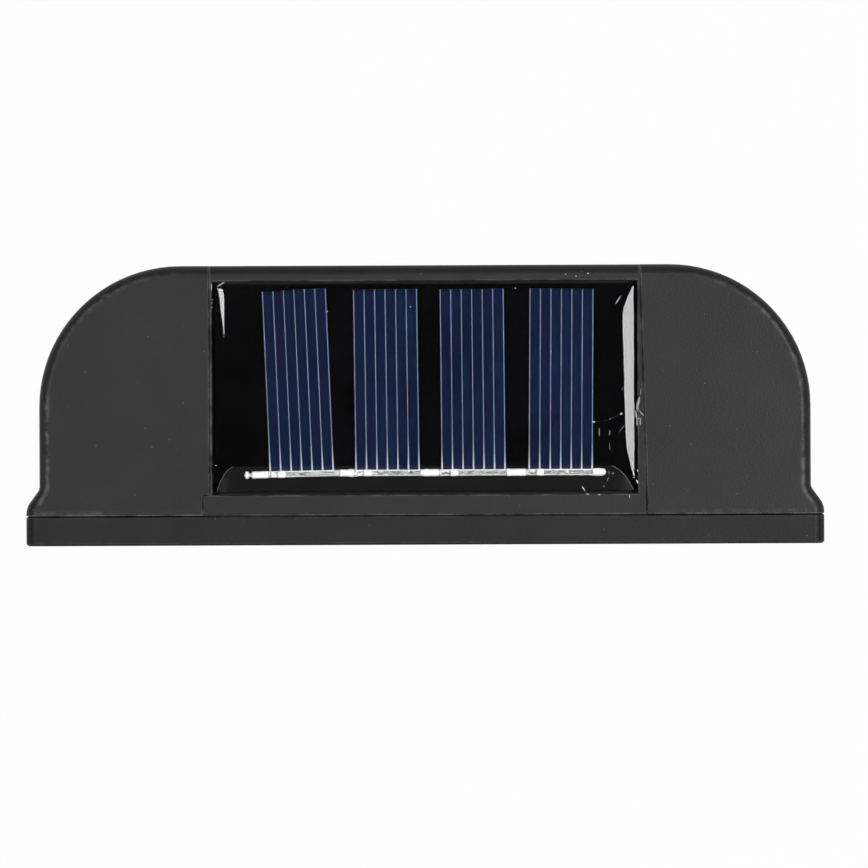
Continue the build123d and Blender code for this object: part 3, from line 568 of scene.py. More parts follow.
def makeSolder(look):
    # Bright lumps of solder over a duller bus, told apart by the ribbon's own attribute, which also carries
    # painted highlights along the bus's edges
    material, tree, shader = newMaterial("tinSolder")
    lump = makeNode(tree, "ShaderNodeAttribute", attribute_name="solder").outputs["Fac"]
    grain = useGroup(tree, mouldGrain, {"Grain": look["grain"], "Drift": look["drift"]})
    streaked = objectPoint(tree, tuple(1 / (size * mm) for size in look["streak"]))
    streak = cloudOf(tree, streaked, 1.0, *look["cloud"])
    bus = mixColour(tree, mapValue(tree, streak, *look["busFrom"]), look["busDark"], look["bus"])
    tree.links.new(mixColour(tree, lump, bus, look["lump"]), shader.inputs["Base Color"])
    metal = mapValue(tree, lump, 0.0, 1.0, look["busMetal"], look["lumpMetal"])
    tree.links.new(metal, shader.inputs["Metallic"])
    tree.links.new(mapValue(tree, grain["Tone"], 0.0, 1.0, *look["rough"]), shader.inputs["Roughness"])
    addBump(tree, shader, grain["Height"], look["bump"], look["relief"] * mm)
    return material


finish["blueSilicon"] = makeSilicon(siliconLook)
finish["tinSolder"] = makeSolder(solderLook)
finish.update({name: makeClear(name, look) for name, look in clearLooks.items()})
print("clear finishes:", len(clearLooks))


# CAD nodes: smooth copies where a curved face shows, the node itself elsewhere

weld = 0.002 * mm
sharpAngles = {"plain": 28.0, "wire": 50.0}  # degrees from which an edge stays sharp
wires = ("coilContact", "panelLead", "batteryLead", "lightLead")


def smoothCopy(name, nodeName, sharpAngle):
    bm = bmesh.new()
    bm.from_mesh(nodes[nodeName].data)
    bmesh.ops.remove_doubles(bm, verts=bm.verts, dist=weld)
    smoothFaces(bm)
    for edge in bm.edges:
        edge.smooth = edge.calc_face_angle(math.pi) < math.radians(sharpAngle)
    piece = pieceFromBmesh(name, bm)
    weighted = piece.modifiers.new("flatFaces", "WEIGHTED_NORMAL")
    weighted.keep_sharp = True
    weighted.weight = 100
    return applyModifier(piece, weighted)


smoothPieces = {
    "hood": ("hoodShell", "mouldedBlackHousing", "housing"),
    "back_plate": ("wallPlate", "mouldedBlackPlate", "housing"),
    "lens": ("flutedLens", "clearLens", "lens"),
    "reflector_tray": ("lightTray", "whiteReflector", "reflector"),
    "button": ("pushButton", "softButtonRubber", "button_rubber"),
    "battery": ("wrappedBattery", "greenBatteryWrap", "battery_wrap"),
    "contact_spring": ("coilContact", "nickelContact", "contact_nickel"),
    "switch_plunger": ("switchStem", "whiteSwitchNylon", "switch_white"),
    "inductor": ("lacquerCoil", "greenLacquer", "inductor_green"),
    "panel_lead_black": ("panelLeadBlack", "blackLeadSleeve", "lead_black"),
    "panel_lead_red": ("panelLeadRed", "redLeadSleeve", "lead_red"),
    "battery_lead_black": ("batteryLeadBlack", "blackLeadSleeve", "lead_black"),
    "battery_lead_red": ("batteryLeadRed", "redLeadSleeve", "lead_red"),
    "led_lead_black": ("lightLeadBlack", "blackLeadSleeve", "lead_black"),
    "led_lead_red": ("lightLeadRed", "redLeadSleeve", "lead_red"),
}
movingNodes = ("button", "switch_plunger")  # these ride on the push button
for nodeName, (name, look, slot) in smoothPieces.items():
    angle = sharpAngles["wire" if name.startswith(wires) else "plain"]
    body = "push_button" if nodeName in movingNodes else "lamp"
    finishPiece(smoothCopy(name, nodeName, angle), finish[look], (nodeName,), body)

plainNodes = {
    "sealFoam": ("housing_seal",),
    "blackPanelBoard": ("panel_board",),
    "foamTape": ("panel_tape",),
    "greenBoard": ("led_board", "control_board"),
    "yellowPhosphor": ("led_phosphor",),
    "nickelContact": ("contact_plate", "spring_plate"),
    "zincSteel": ("board_screws",),
    "blackChipMould": ("driver_chip", "switch_body"),
    "blueSilicon": [f"solar_cell_{i}" for i in range(1, 5)],
    "whiteLedCase": [f"led_{i}" for i in range(1, 5)],
}
for look, nodeNames in plainNodes.items():
    for nodeName in nodeNames:
        nodes[nodeName].data.materials.clear()
        nodes[nodeName].data.materials.append(finish[look])
print("CAD nodes dressed:", len(smoothPieces) + sum(len(nodeNames) for nodeNames in plainNodes.values()))

# Clear resin over the cells: flat on top, and falling to the board's edges

boardLow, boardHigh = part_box("panel_board")
resinLow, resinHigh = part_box("panel_resin")
resin = {
    "inset": 0.08 * mm,
    "sink": 0.02 * mm,  # into the board, so that no two faces lie together
    "cornerRadius": 0.12 * mm,
    # Going round from the +X rear corner, in millimetres and for each side's two ends: how wide the sloping
    # band is, how deep it falls, where it starts and over what run it grows from the corner. Then how round
    # that run is, and how much steeper the fall is at the board's edge. Two bands that meet may not cross
    "sides": {
        "rear": {
            "band": (3.6, 3.6), "fall": (0.868, 0.868), "crown": 0.12,
            "start": (0, 0), "reach": (3.0, 4.3), "round": 2.6,
        },
        "minusX": {
            "band": (1.1, 1.7), "fall": (0.182, 0.282), "crown": 0.12,
            "start": (1.2, 0), "reach": (6.5, 4.5), "round": 1.5,
        },
        "front": {
            "band": (0.8, 0.8), "fall": (0.35, 0.35), "crown": 0.12,
            "start": (0, 1.45), "reach": (2.0, 2.0), "round": 2.0,
        },
        "plusX": {
            "band": (1.3, 1.3), "fall": (0.185, 0.505), "crown": 0.25,
            "start": (0, 3.7), "reach": (0.3, 4.0), "round": 2.0,
        },
    },
    "leastBand": 0.03 * mm,
    "cornerSteps": 6,
    "sideSteps": 48,
    "sharpAngle": 40.0,
    "shares": (0.0, 0.15, 0.35, 0.6, 0.85, 1.0, 1.1),  # 1 is the crease where the flat top begins
}


def runOut(distance, reach, roundness):
    return 1 - (1 - min(1.0, distance / reach)) ** roundness


def resinRing(share):
    inset, radius, least = resin["inset"], resin["cornerRadius"], resin["leastBand"]
    lowX, highX = boardLow.x + inset, boardHigh.x - inset
    lowY, highY = boardLow.y + inset, boardHigh.y - inset
    middles = [
        Vector((highX - radius, highY - radius)), Vector((lowX + radius, highY - radius)),
        Vector((lowX + radius, lowY + radius)), Vector((highX - radius, lowY + radius)),
    ]
    inner = radius - share * least
    ring = []
    for number, side in enumerate(resin["sides"].values()):
        # The corner before the side, then the side itself
        for step in range(resin["cornerSteps"]):
            angle = math.pi / 2 * (number + step / resin["cornerSteps"])
            x, y = middles[number] + inner * Vector((math.cos(angle), math.sin(angle)))
            ring.append(Vector((x, y, resinHigh.z)))
        angle = math.pi / 2 * (number + 1)
        outward = Vector((math.cos(angle), math.sin(angle)))
        run = middles[(number + 1) % 4] - middles[number]
        rise = min(1.0, share + side["crown"] * share * (1 - share))
        for step in range(resin["sideSteps"] + 1):
            part = (1 - math.cos(math.pi * step / resin["sideSteps"])) / 2
            hold = 1.0
            for away, begin, reach in zip((part, 1 - part), side["start"], side["reach"]):
                hold *= runOut(max(0.0, away * run.length - begin * mm), reach * mm, side["round"])
            band, fall = (
                (low + (high - low) * part) * hold * mm for low, high in (side["band"], side["fall"])
            )
            x, y = middles[number] + part * run + (radius - share * max(band, least)) * outward
            ring.append(Vector((x, y, resinHigh.z - fall * (1 - rise))))
    return ring


def makeResin():
    bm = bmesh.new()
    outer = resinRing(0.0)
    bottom = boardHigh.z - resin["sink"]
    rings = [[(x, y, bottom) for x, y, z in outer]] + [resinRing(share) for share in resin["shares"]]
    rows = [[bm.verts.new(point) for point in ring] for ring in rings]
    bridgeLoops(bm, rows)
    bm.faces.new(rows[-1])
    bm.faces.new(list(reversed(rows[0])))
    bmesh.ops.recalc_face_normals(bm, faces=bm.faces)
    smoothFaces(bm)
    crease = set(rows[1 + resin["shares"].index(1.0)])
    for edge in bm.edges:
        gentle = edge.calc_face_angle(math.pi) < math.radians(resin["sharpAngle"])
        edge.smooth = gentle and not crease.issuperset(edge.verts)
    return pieceFromBmesh("domedResin", bm)


finishPiece(makeResin(), finish["clearResin"], ("panel_resin",))
print("resin made")

# Silver fingers printed on the cells, spread over them by Geometry Nodes

cellTurns = {"solar_cell_1": -0.5, "solar_cell_2": 0.4, "solar_cell_3": 0.6, "solar_cell_4": 2.3}  # degrees
fingerSizes = {
    "Fingers": 7, "Pitch": 1.5 * mm, "Length": 26.55 * mm, "Width": 0.108 * mm, "Height": 0.03 * mm,
    "Flare": 1.6, "Flare Length": 7.0 * mm, "Foot": 2.2,
}
# How far the bars sink into the cells, and how late each widening grows along the flare
fingerShape = {"sink": 0.002 * mm, "growth": {"flare": 2.2, "foot": 30.0, "tone": 3.0}}


def newGeometryTree(name, inputs):
    tree = bpy.data.node_groups.new(name, "GeometryNodeTree")
    tree.interface.new_socket("Geometry", in_out="INPUT", socket_type="NodeSocketGeometry")
    for label, value in inputs.items():
        kind = "NodeSocketInt" if isinstance(value, int) else "NodeSocketFloat"
        tree.interface.new_socket(label, in_out="INPUT", socket_type=kind).default_value = value
    tree.interface.new_socket("Material", in_out="INPUT", socket_type="NodeSocketMaterial")
    tree.interface.new_socket("Geometry", in_out="OUTPUT", socket_type="NodeSocketGeometry")
    return tree, makeNode(tree, "NodeGroupInput").outputs, makeNode(tree, "NodeGroupOutput").inputs


def joinVector(tree, x=0.0, y=0.0, z=0.0):
    return firstOf(tree, "ShaderNodeCombineXYZ", {0: x, 1: y, 2: z})


def endTree(tree, given, result, instances):
    # Real geometry with its material, because instances don't leave Blender
    real = firstOf(tree, "GeometryNodeRealizeInstances", {"Geometry": instances})
    paint = {"Geometry": real, "Material": given["Material"]}
    tree.links.new(firstOf(tree, "GeometryNodeSetMaterial", paint), result["Geometry"])


def runTree(name, points, tree, values):
    piece = newPiece(name, points)
    maker = piece.modifiers.new("maker", "NODES")
    maker.node_group = tree
    for item in tree.interface.items_tree:
        if item.in_out == "INPUT" and item.name in values:
            maker[item.identifier] = values[item.name]
    return applyModifier(piece, maker)


def pointMesh(name, places, **attributes):
    mesh = bpy.data.meshes.new(name)
    mesh.from_pydata([tuple(place) for place in places], [], [])
    for label, values in attributes.items():
        kind = "FLOAT_VECTOR" if hasattr(values[0], "__len__") else "FLOAT"
        layer = mesh.attributes.new(label, kind, "POINT")
        for item, value in zip(layer.data, values):
            if kind == "FLOAT":
                item.value = value
            else:
                item.vector = value
    return mesh


def readAttribute(tree, label, kind="FLOAT"):
    return firstOf(tree, "GeometryNodeInputNamedAttribute", {"Name": label}, data_type=kind)


def turnOf(tree):
    values = {"Axis": (0, 0, 1), "Angle": readAttribute(tree, "turn")}
    return firstOf(tree, "FunctionNodeAxisAngleToRotation", values)


def putOn(tree, points, instance, **more):
    values = {"Points": points, "Instance": instance, **more}
    return firstOf(tree, "GeometryNodeInstanceOnPoints", values)


def nudge(tree, geometry, offset):
    return firstOf(tree, "GeometryNodeSetPosition", {"Geometry": geometry, "Offset": offset})


def lift(tree, geometry, height):
    values = {0: geometry, "Translation": joinVector(tree, 0.0, 0.0, height)}
    return firstOf(tree, "GeometryNodeTransform", values)


def buildFingerTree():
    tree, given, result = newGeometryTree("cellFingers", fingerSizes)
    size = joinVector(tree, given["Width"], given["Length"], given["Height"])
    block = {"Size": size, "Vertices X": 2, "Vertices Y": 90, "Vertices Z": 2}
    bar = firstOf(tree, "GeometryNodeMeshCube", block)
    # Each bar widens where it runs into the bus
    at = firstOf(tree, "GeometryNodeInputPosition")
    start = doMath(tree, "SUBTRACT", times(tree, given["Length"], 0.5), given["Flare Length"])
    past = doMath(tree, "SUBTRACT", partOf(tree, at, "Y"), start)
    along = doMath(tree, "DIVIDE", past, given["Flare Length"], clamp=True)
    grown = {label: doMath(tree, "POWER", along, power) for label, power in fingerShape["growth"].items()}
    slowly = times(tree, grown["flare"], given["Flare"])
    atEnd = times(tree, grown["foot"], given["Foot"])
    widen = times(tree, partOf(tree, at, "X"), doMath(tree, "ADD", slowly, atEnd))
    flared = nudge(tree, bar, joinVector(tree, widen))
    store = {"Geometry": flared, "Name": "foot", "Value": grown["tone"]}
    flared = firstOf(tree, "GeometryNodeStoreNamedAttribute", store, data_type="FLOAT")
    reach = times(tree, doMath(tree, "SUBTRACT", given["Fingers"], 1.0), given["Pitch"])
    run = {
        "Count": given["Fingers"],
        "Start Location": joinVector(tree, times(tree, reach, -0.5)),
        "Offset": joinVector(tree, given["Pitch"]),
    }
    row = putOn(tree, firstOf(tree, "GeometryNodeMeshLine", run), flared)
    endTree(tree, given, result, putOn(tree, given["Geometry"], row, Rotation=turnOf(tree)))
    return tree


cellBoxes = {name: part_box(name) for name in cellTurns}
cellTop = cellBoxes["solar_cell_1"][1].z
fingerPlaces = [
    ((low.x + high.x) / 2, (low.y + high.y) / 2, cellTop + fingerSizes["Height"] / 2 - fingerShape["sink"])
    for low, high in cellBoxes.values()
]
fingerPoints = pointMesh("fingerPoints", fingerPlaces, turn=[math.radians(t) for t in cellTurns.values()])
fingerValues = {**fingerSizes, "Material": finish["silverPaste"]}
fingers = runTree("cellFingers", fingerPoints, buildFingerTree(), fingerValues)
finishPiece(fingers, None)
print("fingers:", len(fingers.data.polygons), "faces")

# Tinned ribbon along the cells' rear ends, with lumps of solder in the gaps

ribbonLow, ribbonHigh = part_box("cell_ribbon")
ribbon = {
    "step": 0.08 * mm, "rows": 16, "halfWidth": 0.47 * mm, "height": 0.16 * mm, "sink": 0.01 * mm,
    # Raised beads along the bus's edges, and how strongly each edge is painted pale as a highlight
    "edgeBead": 0.07 * mm, "beadAt": 0.82, "beadReach": 0.14, "edgeGlints": (1.5, 0.8),
    "crownPower": 6, "footShare": 0.97, "endTaper": 0.25 * mm, "endShare": 0.3,
    # Where solder lies, in millimetres along X: long lumps, and round blobs on the cells
    "lumps": ((25.15, 25.95), (22.3, 24.9), (10.0, 12.3), (-2.1, 0.8), (-14.5, -11.55), (-25.9, -23.85)),
    "blobs": (20.5, 8.2, -4.2, -16.5), "blobReach": 0.55,
    "lumpHeight": 0.22 * mm, "lumpWidth": 0.06 * mm, "lumpEnd": 0.3, "lumpSag": 0.3,
    "driftSize": 1.1 * mm, "widthDrift": 1.6, "heightDrift": 0.3,
    "neck": (24.85, 25.15), "neckEase": 0.1, "neckWidth": 0.45, "neckDip": 0.4,
    "busHalf": 4.65 * mm, "busEase": (0.1 * mm, 0.2 * mm), "cellEdge": 0.1,
    "crinkle": 1.3 * mm, "crinkleEase": 0.7, "crinkleGain": 2.0,
    # How bright the strip is: solder's ragged edge, the crinkle's flecks, and the strip off the cells
    "raggedEdge": (0.3, 0.6), "ragged": 0.2, "fleckFrom": (-0.05, 0.25), "fleck": 0.9, "bare": 0.35,
    "droop": 0.27 * mm, "droopFrom": 13.0 * mm,  # the +X end hangs to the rear with its turned cell
    "noise": 0.04 * mm, "grainSize": 0.4 * mm, "seed": 7,
}


def softStep(value, low, high):
    part = min(1.0, max(0.0, (value - low) / (high - low)))
    return part * part * (3 - 2 * part)


def softSpan(value, low, high, before, after):
    # 1 between low and high, and 0 outside
    return softStep(value, low - before, low + after) * softStep(-value, -high - before, -high + after)


def busEnds():
    ends = []
    for name, (low, high) in cellBoxes.items():
        rearReach = (high.y - low.y) / 2
        middle = (low.x + high.x) / 2 - rearReach * math.sin(math.radians(cellTurns[name]))
        ends.append((middle - ribbon["busHalf"], middle + ribbon["busHalf"]))
    return ends


def ribbonShape(x):
    # At x: solder in lumps, solder in blobs, how far over a cell it is, and how crinkled the strip is
    lump = max(softSpan(x / mm, low, high, 0.0, ribbon["lumpEnd"]) for low, high in ribbon["lumps"])
    blob = max(math.exp(-((x / mm - at) / ribbon["blobReach"]) ** 4) for at in ribbon["blobs"])
    onCell = crinkle = 0.0
    for low, high in busEnds():
        inside = softSpan(x, low, high, *ribbon["busEase"])
        onCell = max(onCell, inside)
        start, full = high - ribbon["crinkle"], high - ribbon["crinkleEase"] * ribbon["crinkle"]
        crinkle = max(crinkle, inside * softStep(x, start, full))
    return lump, blob, onCell, crinkle


def makeRibbon():
    bm = bmesh.new()
    layer = bm.verts.layers.float.new("solder")
    midY = (ribbonLow.y + ribbonHigh.y) / 2
    lowX, highX = ribbon["lumps"][-1][0] * mm, ribbonHigh.x
    columns = int((highX - lowX) / ribbon["step"])
    loops = []
    for column in range(columns + 1):
        x = lowX + (highX - lowX) * column / columns
        lump, blob, onCell, crinkle = ribbonShape(x)
        solder = max(lump, blob)
        drift = noise.noise((x / ribbon["driftSize"], 0.0, ribbon["seed"]))
        neck = softSpan(x / mm, *ribbon["neck"], ribbon["neckEase"], ribbon["neckEase"])
        half = ribbon["halfWidth"] * (1 - (1 - ribbon["neckWidth"]) * neck)
        half += solder * ribbon["lumpWidth"] * (1 + ribbon["widthDrift"] * drift)
        height = ribbon["height"] * (1 - ribbon["neckDip"] * neck)
        height += ribbon["lumpHeight"] * solder * (1 + ribbon["heightDrift"] * drift)
        ends = softSpan(x, lowX, highX, 0.0, ribbon["endTaper"])
        taper = ribbon["endShare"] + (1 - ribbon["endShare"]) * ends
        half *= taper
        height *= taper
        droop = ribbon["droop"] * max(0.0, (x - ribbon["droopFrom"]) / (highX - ribbon["droopFrom"]))
        floor = cellTop if onCell > ribbon["cellEdge"] else resinLow.z + ribbon["sink"]
        loop = []
        for row in range(ribbon["rows"] + 1):
            across = -1 + 2 * row / ribbon["rows"]
            y = midY + droop + across * half
            crown = 1 - abs(across) ** ribbon["crownPower"]
            crown *= 1 - ribbon["lumpSag"] * solder * across * across
            aside = (abs(across) - ribbon["beadAt"]) / ribbon["beadReach"]
            bead = math.exp(-(aside ** 2)) * (1 - solder) * onCell
            rough = noise.noise((x / ribbon["grainSize"], y / ribbon["grainSize"], ribbon["seed"]))
            bumpy = rough * ribbon["noise"] * (1 + ribbon["crinkleGain"] * crinkle)
            # Painted highlight: the bus's two edges are marked pale, like solder
            edgeGlint = min(1.0, bead * ribbon["edgeGlints"][across > 0])
            z = cellTop + crown * (height + bead * ribbon["edgeBead"] + bumpy)
            vert = bm.verts.new((x, y, z))
            wet = softStep(solder + ribbon["ragged"] * rough, *ribbon["raggedEdge"])
            flecks = crinkle * softStep(rough, *ribbon["fleckFrom"])
            vert[layer] = max(wet, edgeGlint, ribbon["fleck"] * flecks, ribbon["bare"] * (1 - onCell))
            loop.append(vert)
        for across in (1, -1):
            y = midY + droop + ribbon["footShare"] * across * half
            vert = bm.verts.new((x, y, floor - ribbon["sink"]))
            vert[layer] = solder
            loop.append(vert)
        loops.append(loop)
    bridgeLoops(bm, loops)
    bm.faces.new(loops[0])
    bm.faces.new(list(reversed(loops[-1])))
    bmesh.ops.recalc_face_normals(bm, faces=bm.faces)
    smoothFaces(bm)
    return pieceFromBmesh("solderedRibbon", bm)


finishPiece(makeRibbon(), finish["tinSolder"], ("cell_ribbon",))
print("ribbon made")

# Lint on the panel, burrs of torn plastic along the pocket, and pale marks painted as glints along the
# resin's rear crease

lintAndGlints = {
    # Each mark is x, y, length, width and turn, in millimetres and degrees
    "fibres": (
        (-27.7, -34.9, 1.5, 0.10, 56), (-24.15, -17.45, 0.32, 0.20, 0), (-28.05, -18.6, 0.36, 0.22, 40),
        (-24.9, -16.0, 1.2, 0.06, 92), (-26.4, -15.9, 0.8, 0.06, 84), (-26.4, -13.9, 1.2, 0.03, 95),
        (-22.65, -7.9, 0.9, 0.14, 123),
        (-30.3, -8.9, 0.6, 0.18, 115), (-30.36, -10.46, 0.4, 0.13, 90), (-29.86, -18.1, 0.3, 0.26, 0),
        (-23.2, -7.15, 0.5, 0.10, 165), (-24.9, -7.05, 0.35, 0.09, 10), (-29.2, -6.75, 0.6, 0.08, 100),
        (2.0, -34.0, 0.16, 0.12, 0), (13.9, -33.4, 0.2, 0.1, 30), (-13.0, -36.6, 0.2, 0.14, 0),
        (-20.2, -38.6, 0.22, 0.12, 15), (-23.4, -38.7, 0.3, 0.1, 40), (-21.7, -38.3, 0.16, 0.12, 0),
        (29.06, -37.34, 1.25, 0.13, 30), (30.45, -36.9, 1.1, 0.12, 90),
    ),
    "burrs": (
        (-30.48, -20.1, 1.95, 0.38, 76), (-30.19, -18.46, 1.2, 0.24, 100), (-30.94, -18.67, 1.1, 0.16, 131),
        (-30.31, -17.38, 1.1, 0.17, 90), (-30.79, -17.41, 1.0, 0.17, 90), (-30.57, -17.91, 0.7, 0.14, 0),
        (-25.3, -17.6, 2.3, 0.006, 10), (-27.25, -18.22, 1.8, 0.009, 26), (-30.86, -21.74, 1.0, 0.10, 90),
        (-30.45, -19.2, 0.7, 0.16, 60),
        (-28.17, -16.53, 1.47, 0.05, 51), (-28.29, -22.17, 0.4, 0.14, 67), (-26.43, -17.85, 0.22, 0.14, 20),
        (-25.57, -8.24, 0.2, 0.12, 0), (-26.28, -10.2, 0.5, 0.10, 90), (-26.1, -9.25, 0.7, 0.10, 66),
        (-26.86, -10.1, 0.3, 0.18, 70),
        (30.4, -35.2, 0.5, 0.10, 150), (30.36, -34.67, 0.22, 0.14, 0), (30.36, -34.03, 0.24, 0.15, 0),
    ),
    # Pale lines along the rear crease's two round ends, painted glints where the crease catches the light:
    # how many steps of the ring, and how wide
    "creaseSteps": (5, 6), "creaseWidths": (0.02, 0.028), "creaseLap": 1.35,
    "bridge": 0.45 * mm,  # how far a fibre reaches over a gap
    "above": 10 * mm,  # from where the place it rests on is looked for
    "Height": 0.06 * mm,
}


# Painted glints: pale marks laid along the resin's crease
def creaseGlints():
    ring = resinRing(1.0)
    first = resin["cornerSteps"] + 1
    last = first + resin["sideSteps"] - 2
    plusX, minusX = lintAndGlints["creaseSteps"]
    marks = []
    for steps, width in zip((range(first, first + plusX), range(last - minusX, last)), lintAndGlints["creaseWidths"]):
        for step in steps:
            run = ring[step + 1] - ring[step]
            middle = (ring[step] + ring[step + 1]) / 2
            turn = math.degrees(math.atan2(run.y, run.x))
            marks.append((middle.x / mm, middle.y / mm, lintAndGlints["creaseLap"] * run.length / mm, width, turn))
    return marks


def buildLintAndGlintTree():
    tree, given, result = newGeometryTree("panelLint", {"Height": lintAndGlints["Height"]})
    bead = firstOf(tree, "GeometryNodeMeshIcoSphere", {"Radius": 0.5, "Subdivisions": 2})
    stretch = joinVector(tree, readAttribute(tree, "reach"), readAttribute(tree, "width"), given["Height"])
    fibres = putOn(tree, given["Geometry"], bead, Rotation=turnOf(tree), Scale=stretch)
    endTree(tree, given, result, fibres)
    return tree


view = bpy.context.evaluated_depsgraph_get()
carriers = [BVHTree.FromObject(bpy.data.objects[name], view) for name in ("domedResin", "hoodShell")]
lintAndGlintTree = buildLintAndGlintTree()


def topOf(x, y):
    # The highest of the resin and the hood close to a place, since a fibre bridges the gap between them
    heights = []
    for sideX, sideY in ((0, 0), (-1, 0), (1, 0), (0, -1), (0, 1)):
        start = Vector((x + sideX * lintAndGlints["bridge"], y + sideY * lintAndGlints["bridge"], cadHigh.z + lintAndGlints["above"]))
        heights += [carrier.ray_cast(start, Vector((0, 0, -1)))[0] for carrier in carriers]
    return max(hit.z for hit in heights if hit and hit.z < cadHigh.z - lintAndGlints["Height"])


def scatterMarks(name, marks, material):
    places = [(x * mm, y * mm, topOf(x * mm, y * mm)) for x, y, *rest in marks]
    points = pointMesh(
        name + "Points",
        places,
        reach=[mark[2] * mm for mark in marks],
        width=[mark[3] * mm for mark in marks],
        turn=[math.radians(mark[4]) for mark in marks],
    )
    piece = runTree(name, points, lintAndGlintTree, {"Height": lintAndGlints["Height"], "Material": material})
    finishPiece(piece, None)
    print(name + ":", len(marks), "marks")


# The crease glints are painted with the lint's pale finish
scatterMarks("panelLint", [*lintAndGlints["fibres"], *creaseGlints()], finish["paleLintAndGlints"])
scatterMarks("pocketBurrs", lintAndGlints["burrs"], finish["tornPlastic"])

# Screws with a domed cross-recess head and a rolled thread

screwSizes = {
    "plate_screws": {
        "Head Radius": 2.8 * mm, "Head Height": 1.9 * mm, "Shank Radius": 1.4 * mm, "Length": 9.0 * mm,
        "Pitch": 1.1 * mm, "Recess Width": 0.75 * mm, "Recess Length": 3.0 * mm, "Recess Depth": 1.3 * mm,
    },
    "tray_screws": {
        "Head Radius": 2.3 * mm, "Head Height": 1.5 * mm, "Shank Radius": 1.1 * mm, "Length": 8.0 * mm,
        "Pitch": 0.9 * mm, "Recess Width": 0.6 * mm, "Recess Length": 2.5 * mm, "Recess Depth": 1.0 * mm,
    },
}
# Shares of the head's height, the shank's radius, its length and the thread's pitch
screwShares = {
    "dome": -0.55, "core": 0.8, "tip": 0.2, "threadStart": 0.3, "threadEnd": 0.86,
    "threadRun": 0.92, "threadFrom": -0.94, "ridge": 0.26,
}
screwShape = {"domePower": 4.0, "sharpAngle": 35.0, "seed": 11}


def buildScrewTree():
    tree, given, result = newGeometryTree("crossHeadScrews", screwSizes["plate_screws"])

    def shareOf(size, label):
        return times(tree, given[size], screwShares[label])

    disc = {"Vertices": 40, "Fill Segments": 7, "Radius": given["Head Radius"], "Depth": given["Head Height"]}
    at = firstOf(tree, "GeometryNodeInputPosition")
    flat = joinVector(tree, partOf(tree, at, "X"), partOf(tree, at, "Y"))
    radius = makeNode(tree, "ShaderNodeVectorMath", {0: flat}, operation="LENGTH").outputs["Value"]
    outward = doMath(tree, "DIVIDE", radius, given["Head Radius"])
    outward = doMath(tree, "POWER", outward, screwShape["domePower"])
    onTop = doMath(tree, "GREATER_THAN", partOf(tree, at, "Z"), 0.0)
    drop = times(tree, times(tree, outward, given["Head Height"]), screwShares["dome"])
    drop = times(tree, drop, onTop)
    rise = doMath(tree, "ADD", drop, times(tree, given["Head Height"], 0.5))
    head = nudge(tree, firstOf(tree, "GeometryNodeMeshCylinder", disc), joinVector(tree, 0.0, 0.0, rise))
    depth = times(tree, given["Recess Depth"], 2.0)
    for width, length in (("Recess Width", "Recess Length"), ("Recess Length", "Recess Width")):
        size = joinVector(tree, given[width], given[length], depth)
        block = firstOf(tree, "GeometryNodeMeshCube", {"Size": size})
        cut = makeNode(tree, "GeometryNodeMeshBoolean", operation="DIFFERENCE", solver="EXACT")
        tree.links.new(head, cut.inputs["Mesh 1"])
        tree.links.new(lift(tree, block, given["Head Height"]), cut.inputs["Mesh 2"])
        head = cut.outputs[0]
    cone = {
        "Vertices": 20, "Side Segments": 2, "Depth": given["Length"],
        "Radius Top": shareOf("Shank Radius", "core"), "Radius Bottom": shareOf("Shank Radius", "tip"),
    }
    shank = lift(tree, firstOf(tree, "GeometryNodeMeshCone", cone), times(tree, given["Length"], -1.0))
    threadRun = shareOf("Length", "threadRun")
    coil = {
        "Resolution": 20, "Rotations": doMath(tree, "DIVIDE", threadRun, given["Pitch"]), "Height": threadRun,
        "Start Radius": shareOf("Shank Radius", "threadStart"),
        "End Radius": shareOf("Shank Radius", "threadEnd"),
    }
    spiral = lift(tree, firstOf(tree, "GeometryNodeCurveSpiral", coil), shareOf("Length", "threadFrom"))
    ridge = {"Resolution": 4, "Radius": shareOf("Pitch", "ridge")}
    profile = firstOf(tree, "GeometryNodeCurvePrimitiveCircle", ridge)
    sweep = {"Curve": spiral, "Profile Curve": profile, "Fill Caps": True}
    thread = firstOf(tree, "GeometryNodeCurveToMesh", sweep)
    joined = makeNode(tree, "GeometryNodeJoinGeometry")
    for part in (thread, shank, head):
        tree.links.new(part, joined.inputs[0])
    faces = {"Geometry": joined.outputs[0], "Shade Smooth": True}
    smooth = firstOf(tree, "GeometryNodeSetShadeSmooth", faces)
    angle = makeNode(tree, "GeometryNodeInputMeshEdgeAngle").outputs["Unsigned Angle"]
    sharp = doMath(tree, "GREATER_THAN", angle, math.radians(screwShape["sharpAngle"]))
    edges = {"Geometry": smooth, "Selection": sharp, "Shade Smooth": False}
    crisp = firstOf(tree, "GeometryNodeSetShadeSmooth", edges, domain="EDGE")
    toward = {"Vector": readAttribute(tree, "aim", "FLOAT_VECTOR")}
    aim = firstOf(tree, "FunctionNodeAlignRotationToVector", toward, axis="Z")
    turned = {"Rotation": aim, "Rotate By": turnOf(tree)}
    pose = firstOf(tree, "FunctionNodeRotateRotation", turned, rotation_space="LOCAL")
    endTree(tree, given, result, putOn(tree, given["Geometry"], crisp, Rotation=pose))
    return tree


